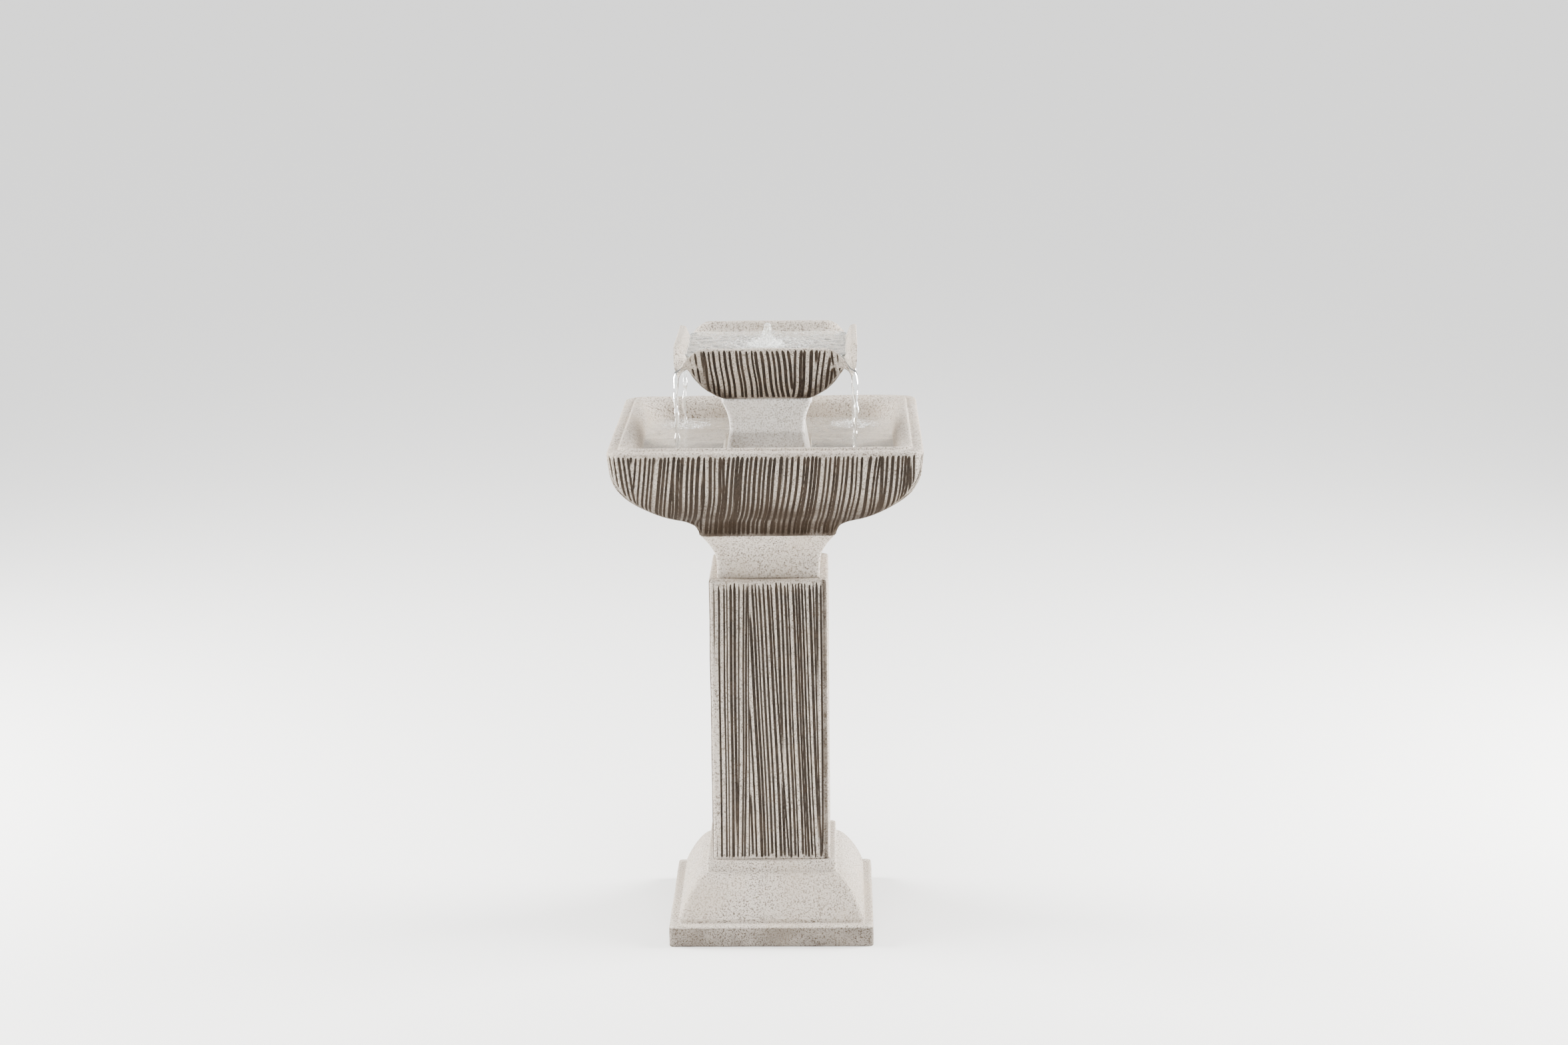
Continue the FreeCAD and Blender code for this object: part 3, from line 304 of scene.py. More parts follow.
def stitch(table, closed, vertexCount):
    # triangles between neighbouring rows of the table, without the ones that have no width; an
    # open stack gets a middle vertex at each end, numbered after the grid's own
    lower, upper = table[:-1], table[1:]
    if closed:
        lower, upper = table, np.roll(table, -1, axis=0)
    nextLower, nextUpper = np.roll(lower, -1, axis=1), np.roll(upper, -1, axis=1)
    faces = [np.stack([lower, nextLower, nextUpper], -1).reshape(-1, 3),
             np.stack([lower, nextUpper, upper], -1).reshape(-1, 3)]
    if not closed:
        first, last = table[0], table[-1]
        faces.append(np.stack([np.roll(first, -1), first, np.full_like(first, vertexCount)], -1))
        faces.append(np.stack([last, np.roll(last, -1), np.full_like(last, vertexCount + 1)], -1))
    faces = np.concatenate(faces)
    a, b, c = faces.T
    return faces[(a != b) & (b != c) & (a != c)]


def makePiece(name, points, faces, attributes=()):
    # a mesh object from arrays in millimetres; vertices that no face uses are left out
    used, compact = np.unique(faces, return_inverse=True)
    compact = compact.reshape(faces.shape)
    mesh = bpy.data.meshes.new(name)
    mesh.vertices.add(len(used))
    mesh.vertices.foreach_set("co", (points[used] * metre).astype(np.float32).ravel())
    mesh.loops.add(compact.size)
    mesh.loops.foreach_set("vertex_index", compact.astype(np.int32).ravel())
    mesh.polygons.add(len(compact))
    mesh.polygons.foreach_set("loop_start", np.arange(0, compact.size, faces.shape[1], dtype=np.int32))
    mesh.update(calc_edges=True)
    mesh.validate()
    mesh.polygons.foreach_set("use_smooth", np.ones(len(mesh.polygons), bool))
    for key, values in dict(attributes).items():
        layer = mesh.attributes.new(key, "FLOAT", "POINT")
        layer.data.foreach_set("value", values[used].astype(np.float32))
    return addObject(name, mesh)


def pierce(piece, tools):
    # cuts closed tool shapes out of a piece and keeps the result as its mesh
    for tool in tools:
        cutter = piece.modifiers.new("cut", "BOOLEAN")
        cutter.operation = "DIFFERENCE"
        cutter.solver = "EXACT"
        cutter.object = tool
    bpy.context.view_layer.update()
    graph = bpy.context.evaluated_depsgraph_get()
    mesh = bpy.data.meshes.new_from_object(piece.evaluated_get(graph))
    piece.modifiers.clear()
    old, piece.data = piece.data, mesh
    bpy.data.meshes.remove(old)
    for tool in tools:
        bpy.data.objects.remove(tool)


def lathe(radius, level, turn):
    # rings of points around the upright axis, one row for each radius and level
    return np.stack([np.outer(radius, np.cos(turn)), np.outer(radius, np.sin(turn)),
                     np.outer(level, np.ones(len(turn)))], -1)


def withEnds(points):
    # rows of points as one list, followed by the middle of the first and of the last row
    return np.concatenate([points.reshape(-1, 3), points[[0, -1]].mean(axis=1)])


def ringTable(rows, count):
    # vertex numbers of rows of points that follow each other
    return np.arange(rows * count).reshape(rows, count)


def rodTool(centre, radius, low, high):
    # a closed upright cylinder, for cutting a hole
    count = 48
    turn = np.linspace(0, 2 * math.pi, count, endpoint=False)
    points = withEnds(lathe([radius, radius], [low, high], turn)) + (centre[0], centre[1], 0)
    return makePiece("holeTool", points, stitch(ringTable(2, count), False, 2 * count))


def boxTool(low, high):
    # a closed box between two corners, for cutting a slot
    low, high = np.array(low, float), np.array(high, float)
    corners = np.array([[x, y, z] for z in (0, 1) for y in (0, 1) for x in (0, 1)])
    faces = np.array([(0, 2, 3, 1), (4, 5, 7, 6), (0, 1, 5, 4), (2, 6, 7, 3), (0, 4, 6, 2), (1, 3, 7, 5)])
    return makePiece("slotTool", low + corners * (high - low), faces)


def cleftPattern(along, share, width, length, seed, style):
    # How deep the stone is cleft at each row and column of one side, in millimetres.
    # A few long leading clefts slant across the side.  Between two of them lie shorter ones that
    # run beside one of the pair and die out where they meet the other, which leaves long vees.
    # `share` runs down the side from 0 to 1, `along` across it.
    random = np.random.default_rng(seed)
    count = max(int(round(2 * width / style["panel"])), 2)
    high, low = (np.cumsum(random.uniform(*style["spread"], count)) for end in range(2))
    high, low = (np.concatenate([[0], edge]) / edge[-1] * 2 * width - width for edge in (high, low))
    limit = style["slant"] * length
    low = high + np.clip(low - high, -limit, limit)
    bow = random.uniform(-1, 1, count + 1) * style["bow"] * np.sin(math.pi * share)
    swings, start = random.uniform(0.8, 1.7, count + 1), random.uniform(0, 1, count + 1)
    wander = style["wander"] * np.sin(2 * math.pi * (share * swings + start))
    leading = np.sort(high * (1 - share) + low * share + bow + wander, axis=1)    # rows by leading clefts
    depth = np.zeros((len(share), along.shape[1]))
    down, soft = share[:, 0], style["endShare"]

    def carve(centre, wide, deep, begin, finish, meet=None):
        # a groove round its middle line, narrower at its upper end and gone where it meets another
        ends = smoothStep(begin - soft, begin + soft, down)
        ends = ends * (1 - smoothStep(finish - soft, finish + soft, down))
        if meet is not None:
            ends = ends * smoothStep(0.2, 1.0, np.abs(meet - centre) / wide)
        thick = wide * (0.45 + 0.55 * smoothStep(-soft, style["grow"], down - begin))
        offset = np.abs(along - centre[:, None]) / (thick[:, None] / 2)
        shape = (1 - smoothStep(0.5, 1.2, offset)) * deep * ends[:, None]
        np.maximum(depth, shape, out=depth)

    for index in range(count + 1):
        carve(leading[:, index], random.uniform(*style["wide"]), random.uniform(*style["deep"]),
              style["top"] + random.uniform(0, 0.01), style["bottom"] - random.uniform(0, 0.01))
    for index in range(count):
        left, right = leading[:, index], leading[:, index + 1]
        fromLeft = random.random() < 0.5
        offset = 0.0
        while True:
            offset += style["pitch"] * random.uniform(0.68, 1.36)
            if offset > (right - left).max() - 2.0:
                break
            drift = random.uniform(-0.6, 0.6) * down
            centre = left + offset + drift if fromLeft else right - offset - drift
            meet = np.maximum(right, centre) if fromLeft else np.minimum(left, centre)
            wide = random.uniform(*style["wide"])
            begin = style["top"] + random.uniform(0, 0.012)
            finish = style["bottom"] - random.uniform(0, 0.012)
            carve(centre, wide, random.uniform(*style["deep"]), begin, finish, meet)
    return depth


def cleftSides(along, share, widths, length, seed, style):
    # The four sides' patterns, side by side.  `widths` is how far each row's pattern reaches from
    # the middle of a side; there it fades out, and a row of width 0 stays smooth.
    sides = []
    for side in range(4):
        depth = cleftPattern(along, share, widths.max(), length, seed + side, style)
        sides.append(depth * smoothStep(*style["fade"], widths[:, None] - np.abs(along)))
    return np.concatenate(sides, axis=1)


def bowlSides(along, profile, outside, seed, style):
    # the cleft depth on the outside rows of a bowl, and the share of the way down each row lies
    half, radius, level, fine, straight = profile.arrays()
    arc = np.concatenate([[0], np.cumsum(np.hypot(np.diff(half), np.diff(level)))])
    bottom, top = arc[np.flatnonzero(outside)[[0, -1]]]
    share = np.clip((top - arc) / (top - bottom), -0.2, 1.2)[:, None]
    widths = np.where(outside, half - radius + radius * math.pi / 4, 0.0)
    return cleftSides(along, share, widths, top - bottom, seed, style), share


print("shape tools ready")


# ---- materials ----
class Recipe:
    # a short hand for building a node material
    def __init__(self, name):
        self.material = bpy.data.materials.new(name)
        self.material.use_nodes = True
        self.tree = self.material.node_tree
        self.shader = self.tree.nodes["Principled BSDF"]
        self.output = self.tree.nodes["Material Output"]
        self.coordinates = self.add("ShaderNodeTexCoord").outputs["Object"]

    def add(self, kind, inputs=(), **values):
        # a node with its settings; `inputs` holds numbers, colours or other nodes' outputs
        node = self.tree.nodes.new(kind)
        for key, value in values.items():
            setattr(node, key, value)
        self.fill(node, inputs)
        return node

    def fill(self, node, inputs):
        for key, source in dict(inputs).items():
            target = node.inputs[key]
            if isinstance(source, (int, float)):
                target.default_value = source
            elif isinstance(source, tuple):
                target.default_value = (*source, 1) if len(target.default_value) == 4 else source
            else:
                self.tree.links.new(source, target)

    def noise(self, scale, detail, roughness, vector=None, distortion=0.0):
        return self.add("ShaderNodeTexNoise", {
            "Vector": vector or self.coordinates, "Scale": scale, "Detail": detail,
            "Roughness": roughness, "Distortion": distortion}).outputs["Fac"]

    def cells(self, scale, vector=None):
        inputs = {"Vector": vector or self.coordinates, "Scale": scale}
        return self.add("ShaderNodeTexVoronoi", inputs).outputs["Distance"]

    def remap(self, value, low, high, toLow=0.0, toHigh=1.0):
        inputs = {"Value": value, "From Min": low, "From Max": high, "To Min": toLow, "To Max": toHigh}
        return self.add("ShaderNodeMapRange", inputs, interpolation_type="SMOOTHSTEP").outputs["Result"]

    def maths(self, operation, first, second):
        return self.add("ShaderNodeMath", {0: first, 1: second}, operation=operation).outputs[0]

    def times(self, first, second):
        return self.maths("MULTIPLY", first, second)

    def mixed(self, share, first, second):
        inputs = {"Factor": share, "A": first, "B": second}
        return self.add("ShaderNodeMix", inputs, data_type="RGBA").outputs["Result"]

    def attribute(self, name):
        return self.add("ShaderNodeAttribute", attribute_name=name).outputs["Fac"]

    def bump(self, height, distance, strength):
        inputs = {"Height": height, "Distance": distance, "Strength": strength}
        return self.add("ShaderNodeBump", inputs).outputs["Normal"]


# the darkest brown serves both real stain and painted shade
stoneLook = {
    "light": (0.62, 0.56, 0.49), "mid": (0.115, 0.09, 0.068), "sand": (0.50, 0.42, 0.33),
    "cleft": (0.018, 0.012, 0.008), "pit": (0.04, 0.028, 0.018), "stainAndShade": (0.028, 0.018, 0.011),
}
# a paler copy of the stone for the upper pedestal: partly a paler stone, partly painted light that
# brightens the front the dish shades
paleLitStoneLook = {
    "light": (0.98, 0.96, 0.93), "mid": (0.42, 0.38, 0.33), "sand": (0.88, 0.82, 0.74),
    "cleft": (0.030, 0.021, 0.014), "pit": (0.30, 0.25, 0.20), "stainAndShade": (0.17, 0.14, 0.11),
}


def stoneMaterial(name, look, seed=0.0):
    # granular cast stone: pale grains over a grey body, sandy blooms, brown pits, and clefts
    # whose floor is washed dark brown; "cleft" is the share of a cleft's depth at a point and
    # the stain-and-shade attribute the share of dark brown there: real stain, and painted shade
    recipe = Recipe(name)
    away = {"Vector": recipe.coordinates, "Location": (seed, seed * 0.7, -seed)}
    spot = recipe.add("ShaderNodeMapping", away).outputs["Vector"]
    grain = recipe.noise(950, 3, 0.7, spot)
    speckle = recipe.noise(460, 3, 0.66, spot)
    cloud = recipe.noise(14, 4, 0.55, spot)
    broad = recipe.noise(5, 3, 0.5, spot)
    body = recipe.mixed(recipe.remap(speckle, 0.33, 0.56), look["mid"], look["light"])
    body = recipe.mixed(recipe.remap(grain, 0.30, 0.46, 0.5, 0.0), body, look["mid"])
    body = recipe.mixed(recipe.remap(cloud, 0.40, 0.72, 0.0, 0.5), body, look["sand"])
    body = recipe.mixed(recipe.remap(broad, 0.35, 0.65, 0.0, 0.15), body, look["mid"])
    pits = recipe.times(recipe.remap(recipe.cells(210, spot), 0.10, 0.20, 1.0, 0.0),
                        recipe.remap(recipe.noise(70, 2, 0.5, spot), 0.54, 0.62))
    body = recipe.mixed(recipe.times(pits, 0.85), body, look["pit"])
    ragged = recipe.times(recipe.maths("SUBTRACT", speckle, 0.5), 0.55)
    ragged = recipe.remap(recipe.maths("ADD", recipe.attribute("cleft"), ragged), 0.12, 0.52, 0.0, 0.96)
    brown = recipe.mixed(recipe.remap(recipe.noise(60, 3, 0.5, spot), 0.4, 0.65), look["cleft"],
                         tuple(part * 1.9 for part in look["cleft"]))
    body = recipe.mixed(ragged, body, brown)
    # dark brown where the stain-and-shade attribute asks for it: real stain, and painted shade
    patchy = recipe.remap(recipe.noise(24, 4, 0.6, spot), 0.30, 0.66, 0.84, 1.12)
    stainAndShadeShare = recipe.remap(recipe.times(patchy, recipe.attribute("stainAndShade")), 0.0, 1.0, 0.0, 0.97)
    body = recipe.mixed(stainAndShadeShare, body, look["stainAndShade"])
    height = recipe.maths("ADD", recipe.times(grain, 0.6), speckle)
    height = recipe.maths("SUBTRACT", height, recipe.times(pits, 1.1))
    recipe.fill(recipe.shader, {"Base Color": body, "Roughness": 0.88, "Specular IOR Level": 0.10,
                                "Normal": recipe.bump(height, 0.0011, 0.75)})
    return recipe.material


stone = stoneMaterial("castStone", stoneLook)
paleLitStone = stoneMaterial("paleLitCastStone", paleLitStoneLook, 3.1)


def dress(piece, body, slot, material, *nodes):
    # rides a new piece on its body, gives it a finish and hides the CAD parts it stands for; `slot` is not
    # used
    piece.data.materials.clear()
    piece.data.materials.append(material)
    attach(piece, body)
    if nodes:
        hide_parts(*nodes)
    return piece


def castPiece(name, profile, count, closed, shape, unevenness, seed):
    # Stacks the rings, lets `shape` move the points and tell the cleft depth and the stain and painted
    # shade, adds the hand-made unevenness along the outward direction, and joins the rings.
    points, normals, table, along = castGrid(profile, count, closed)
    depth = np.zeros(points.shape[:2])
    stainAndShade = np.zeros(points.shape[:2])
    if shape:
        points, depth, stainAndShade = shape(points, normals, along)
    bulge = unevenness * (waves(points, 62, seed) + 0.35 * waves(points, 13, seed + 50))
    points = points + normals * (bulge - depth)[..., None]
    points[..., 2] = np.maximum(points[..., 2], slabLow)         # nothing sinks into the floor
    extra = np.zeros(0 if closed else 2)                         # for the middle vertices of the ends
    attributes = {"cleft": np.append(depth / max(depth.max(), 1e-6), extra), "stainAndShade": np.append(stainAndShade, extra)}
    faces = stitch(table, closed, depth.size)
    piece = makePiece(name, points.reshape(-1, 3) if closed else withEnds(points), faces, attributes)
    print(name, "has", len(faces), "triangles")
    return piece


# ---- base ----
baseShape = {"slab": 133.0, "riser": 121.0, "collar": 84.5, "slabTop": 28.0, "riserTop": 35.3,
             "ovoloTop": 86.3, "softness": 3.0, "corner": 4.5,
             "leadSlot": ((-7.05, 110, 2.95), (7.05, 145, 17.05))}


def makeBase(shape):
    # a square slab, a short riser, an ovolo and a collar, with a rib that keeps the column in place
    slab, riser, collar, soft = take(shape, "slab riser collar softness")
    slabTop, riserTop, ovoloTop = take(shape, "slabTop riserTop ovoloTop")
    rise = np.linspace(0.035, 1, 22) ** 0.9
    # the ovolo closes in from the riser to the collar: share = (1 - rise^1.1)^0.65
    ovolo = np.stack([collar + (riser - 0.8 - collar) * np.clip(1 - rise ** 1.1, 0, 1) ** 0.65,
                      riserTop + (ovoloTop - riserTop) * rise], -1)
    face = {"corner": shape["corner"], "fine": True}
    profile = Profile()
    profile.line(shifted([(-1.2, 0), (-0.3, 0.5), (0, 1.6)], slab, slabLow), 1, **face)
    profile.line([(slab, slabLow + 5), (slab, slabTop - soft - 1.5)], 3, **face)
    profile.bend(shifted([(0, -soft), (-0.9, -0.9), (-soft, 0)], slab, slabTop), 0.8, **face)
    profile.line([(slab - soft - 1.5, slabTop), (riser + 2.2, slabTop)], 2.5, **face)
    profile.bend(shifted([(1.2, 0.1), (0.3, 0.5), (0, 1.5)], riser, slabTop), 0.8, **face)
    profile.line([(riser, slabTop + 2.5), (riser, riserTop - 2.2)], 1.5, **face)
    profile.bend(shifted([(-0.1, -1.4), (-0.6, -0.3), (-1.5, 0.3)], riser, riserTop), 0.8, **face)
    profile.add(ovolo, **face)
    profile.bend([(collar, ovoloTop + 1.0), (collar, ovoloTop + 4), (collar, columnLow - 3)], 2.2, **face)
    profile.bend(shifted([(-0.1, -2), (-0.8, -0.6), (-2.2, 0)], collar, columnLow), 0.8, **face)
    profile.line([(collar - 4, columnLow), (65.5, columnLow)], 5, **face)
    rib, throat = 64.5, 56.5
    profile.line([(rib, columnLow + 0.6), (rib, ribTop - 0.6), (rib - 0.6, ribTop),
                  (throat + 0.6, ribTop), (throat, ribTop - 0.6), (throat, ovoloTop),
                  (109, 20.6), (109.8, 20), (120.4, 20), (121, 19.4),
                  (121, slabLow + 0.5), (121.5, slabLow)], 14, 4.0)

    def paintSlabShade(points, normals, along):
        # painted shade: the slab's upright sides below its top are darkened towards brown
        upright = smoothStep(0.5, 0.1, normals[..., 2])
        below = smoothStep(slabTop - 0.5, slabTop - 3, points[..., 2])
        return points, np.zeros(points.shape[:2]), 0.56 * upright * below

    base = castPiece("basePlinth", profile, 120, True, paintSlabShade, unevenness=0.34, seed=11)
    pierce(base, [boxTool(*shape["leadSlot"])])
    return base


dress(makeBase(baseShape), "stand", "cast_stone", stone, "base_plinth")


# ---- column ----
columnShape = {"half": 77.0, "corner": 6.5, "panel": 72.0, "inside": 65.0, "opening": 48.0, "plate": 14.0}
columnClefts = {"panel": 16.0, "slant": 0.10, "bow": 1.0, "wander": 0.3, "pitch": 4.9, "wide": (2.1, 4.5),
                "deep": (1.3, 2.4), "top": 0.007, "bottom": 0.996, "endShare": 0.003, "grow": 0.03,
                "spread": (0.25, 1.9), "fade": (0, 1.6)}


def makeColumn(shape, clefts):
    # a straight square shaft, cleft on its four sides and stained down one edge of each
    half, inside, opening = take(shape, "half inside opening")
    plateLow = columnTop - shape["plate"]
    face = {"corner": shape["corner"], "fine": True, "straight": True}
    profile = Profile()
    profile.line(shifted([(-1.0, 0), (-0.2, 0.6), (0, 1.8)], half, columnLow), 1, **face)
    profile.line([(half, columnLow + 5), (half, columnTop - 10)], 4.2, **face)
    profile.line([(half, columnTop - 8.8), (half, columnTop - 3.6)], 1.2, **face)
    profile.bend(shifted([(-0.1, -2.8), (-0.9, -0.9), (-2.8, 0)], half, columnTop), 1.0, **face)
    profile.line([(half - 4.5, columnTop), (opening + 0.6, columnTop)], 7, 5.0)
    profile.line([(opening, columnTop - 0.6), (opening, plateLow), (inside - 0.6, plateLow),
                  (inside, plateLow - 0.6), (inside, columnLow + 0.5), (inside + 0.5, columnLow)], 60, 4.0)

    def shapeColumn(points, normals, along):
        level = points[:, 0, 2]
        length = columnTop - columnLow
        share = ((columnTop - level) / length)[:, None]
        outside = np.arange(len(level)) < np.argmax(level >= columnTop - 1e-6)
        depth = cleftSides(along, share, np.where(outside, shape["panel"], 0.0), length, 300, clefts)
        across = np.concatenate([along] * 4, axis=1)
        edge = smoothStep(66, 71, across) * smoothStep(77, 74, across)
        return points, depth, np.where(outside[:, None], 0.14 + 0.6 * edge, 0)

    return castPiece("pedestalColumn", profile, 192, True, shapeColumn, unevenness=0.30, seed=23)


dress(makeColumn(columnShape, columnClefts), "stand", "cast_stone", stone, "pedestal_column")


# ---- neck ----
neckShape = {
    "outline": [(66.3, 0.4), (66.2, 6), (66.3, 19), (68.6, 33), (72.4, 41), (77.4, 49), (82.8, 56),
                (85.2, 58.8)],
    "corner": 5.5, "spigot": 47.5, "bore": 39.5, "throat": 63.8, "rib": 71.8,
}


def makeNeck(shape):
    # a square foot that curves out to the bowl, with a spigot below and a rib above
    spigot, bore, throat, rib = take(shape, "spigot bore throat rib")
    face = {"corner": shape["corner"], "fine": True}
    foot, top = columnTop, bowlLow
    profile = Profile()
    profile.line([(spigot, foot - 9.4), (spigot, foot - 0.6)], 5, 4.0)
    profile.line([(spigot + 0.6, foot), (65.4, foot)], 6, 5.0)
    profile.bend(shifted(shape["outline"], 0, foot), 2.0, **face)
    profile.bend([(86.0, top - 1.4), (86.3, top - 0.8), (85.6, top)], 0.6, **face)
    profile.line([(84, top), (rib + 0.6, top), (rib, top + 0.6), (rib, top + 9.4), (rib - 0.6, top + 10),
                  (throat + 0.6, top + 10), (throat, top + 9.4), (bore, foot + 10), (bore, foot - 9.4),
                  (bore + 0.6, foot - 10), (spigot - 0.6, foot - 10)], 12, 4.0)
    return castPiece("columnNeck", profile, 96, True, None, unevenness=0.34, seed=37)


dress(makeNeck(neckShape), "stand", "cast_stone", stone, "column_neck")

# ---- main bowl ----
bowlShape = {
    "outline": [(87.6, 0.0), (88.6, 4), (90.0, 8), (94.8, 14), (99.5, 17.5), (105.5, 21.3), (117.2, 26.4),
                (129.5, 31.6), (142.6, 39.0), (161.4, 52.6), (175.8, 65.5), (185.4, 77.5), (191.4, 89),
                (194.6, 100.5), (195.6, 110), (196.3, 117)],
    "rim": [(196.8, 124.2), (196.7, 127.0), (195.8, 129.0), (193.4, 130.2), (189.8, 130.5), (185.4, 130.2),
            (183.8, 129.3), (183.0, 130.3), (182.6, 132.0), (181.6, 133.0), (179.6, 133.2), (176.0, 132.4)],
    "wall": [(171.2, 129.9), (167.6, 125.4), (164.8, 117.5), (162.4, 108.0), (158.0, 92.0)],
    "inside": [(154.6, 82), (148, 68), (138.5, 56.5), (128, 44), (121.0, 38.6), (116, 36.7), (108, 36.5)],
    "corner": 0.118, "insideCorner": 0.22, "recess": 72.3, "recessHeight": 22.0,
    "drainHole": 8.05, "leadHole": 7.05,
}
bowlClefts = {"panel": 22.0, "slant": 0.09, "bow": 1.8, "wander": 0.6, "pitch": 5.7, "wide": (2.7, 5.1),
              "deep": (1.4, 2.5), "top": 0.010, "bottom": 0.99, "endShare": 0.006, "grow": 0.02,
              "spread": (0.3, 1.8), "fade": (0.2, 2.0)}


def makeMainBowl(shape, clefts):
    # a square bowl: the outline rises to a stepped rim, and the wall curves down inside to the floor.
    # A corner's radius is a share of the half width there, a larger share inside than outside.
    corner, insideCorner, recess = take(shape, "corner insideCorner recess")
    recessTop = bowlLow + shape["recessHeight"]
    square = lambda half: half * corner
    rounded = lambda half: np.clip(half * insideCorner, 0, half)
    between = lambda half: half * (corner + (insideCorner - corner) * smoothStep(176, 160, half))
    face = {"corner": square, "fine": True, "straight": True}
    profile = Profile()
    profile.line([(12, recessTop), (recess - 0.6, recessTop), (recess, recessTop - 0.6),
                  (recess, bowlLow + 0.6), (recess + 0.6, bowlLow), (84, bowlLow)], 30, 4.0)
    profile.bend(shifted(shape["outline"], 0, bowlLow), 5.2, **face)
    profile.line(shifted([(196.4, 118.5), (196.7, 123.5)], 0, bowlLow), 2.6, **face)
    profile.bend(shifted(shape["rim"], 0, bowlLow), 1.8, **face)
    profile.bend(shifted(shape["wall"], 0, bowlLow), 2.6, between)
    profile.bend(shifted(shape["inside"], 0, bowlLow), 4.5, rounded)
    profile.line([(98, basinFloor), (12, basinFloor)], 18, rounded)

    def shapeBowl(points, normals, along):
        outside = np.array(profile.straight) & (points[:, 0, 2] < bowlTop - 4)
        depth, share = bowlSides(along, profile, outside, 500, clefts)
        # darker towards the bottom of the outside: partly brown stain, partly painted shade on the
        # underside
        stainAndShadeShare = 0.22 + 0.60 * smoothStep(0.10, 0.66, share)
        return points, depth, stainAndShadeShare * outside[:, None] * np.ones_like(depth)

    bowl = castPiece("mainBowl", profile, 368, False, shapeBowl, unevenness=0.34, seed=41)
    drainSpot, leadSpot = (sum(extent(node)) / 2 for node in ("drain_plug", "cable_grommet"))
    pierce(bowl, [rodTool(drainSpot, shape["drainHole"], bowlLow - 5, basinFloor + 6),
                  rodTool(leadSpot, shape["leadHole"], bowlLow + 5, basinFloor + 6)])
    return bowl


dress(makeMainBowl(bowlShape, bowlClefts), "basin", "cast_stone", stone, "main_bowl")

# ---- upper pedestal ----
pillarShape = {
    "outline": [(60.2, 8.8), (59.8, 14), (59.0, 25), (55.5, 45), (50.8, 76), (48.1, 97), (49.0, 106),
                (50.4, 113), (53.8, 123), (56.0, 128.4)],
    "corner": 5.5, "opening": 24.0, "plate": 12.0,
}


def makePillar(shape):
    # a square post that narrows upwards to a flared head, with cross slots under its foot
    opening, plateLow = shape["opening"], pillarTop - shape["plate"]
    face = {"corner": shape["corner"], "fine": True}
    profile = Profile()
    profile.line(shifted([(61.4, 0), (62, 0.8), (62, 7)], 0, basinFloor), 3, **face)
    profile.bend(shifted(shape["outline"], 0, basinFloor), 2.4, **face)
    profile.bend(shifted([(57.0, -6.4), (57.7, -4.6), (57.5, -1.2), (56.4, 0)], 0, pillarTop), 1.0, **face)
    profile.line([(54, pillarTop), (opening + 0.6, pillarTop), (opening, pillarTop - 0.6),
                  (opening, plateLow), (40, plateLow), (40.6, plateLow - 0.6), (40.6, basinFloor + 89),
                  (45.1, basinFloor + 56), (54.5, basinFloor + 0.5), (55, basinFloor)], 16, 5.0)

    def darkenFoot(points, normals, along):
        # darker in a band just above the water line
        nearWater = smoothStep(waterLevel["basin"] + 27, waterLevel["basin"] + 17, points[..., 2])
        return points, np.zeros(points.shape[:2]), 0.52 * nearWater

    pillar = castPiece("upperPedestal", profile, 96, True, darkenFoot, unevenness=0.30, seed=59)
    pierce(pillar, [boxTool((-90, -12, basinFloor - 5), (90, 12, basinFloor + 9)),
                    boxTool((-12, -90, basinFloor - 6), (12, 90, basinFloor + 9))])
    return pillar


dress(makePillar(pillarShape), "pillar", "cast_stone", paleLitStone, "upper_pedestal")

# ---- top bowl with its four spouts ----
dishShape = {
    "outline": [(57.0, 0.0), (60.5, 1.6), (64.5, 4.0), (70.5, 8.2), (77.7, 14), (84.6, 21.5), (90.0, 28.6),
                (94.6, 35.5), (100.2, 45), (105.2, 53.5), (109.6, 61.0), (113.4, 67.5), (115.2, 70.6)],
    "rim": [(115.7, 71.6), (115.8, 72.6), (115.2, 73.4), (113.8, 73.7), (109.8, 73.7), (108.2, 73.2),
            (107.1, 72.0)],
    "inside": [(106.2, 69.8), (104.4, 65.5), (101.5, 59.5), (98.8, 55.0), (95.2, 49.5), (86.0, 37.5),
               (76.0, 26.5), (66.0, 18.0), (60.0, 14.8), (54.0, 14.0)],
    "corner": 0.13, "insideCorner": 0.22, "hole": 10.5,
    "mouth": 27.0, "tipReach": 155.5, "tipLow": 747.6, "tipHigh": 751.6, "crest": 766.0, "brow": 757.0,
}
dishClefts = {"panel": 24.0, "slant": 0.07, "bow": 1.6, "wander": 0.5, "pitch": 6.4, "wide": (2.4, 5.0),
              "deep": (1.5, 2.5), "top": 0.004, "bottom": 0.97, "endShare": 0.010, "grow": 0.05,
              "spread": (0.3, 1.8), "fade": (0.2, 2.0)}


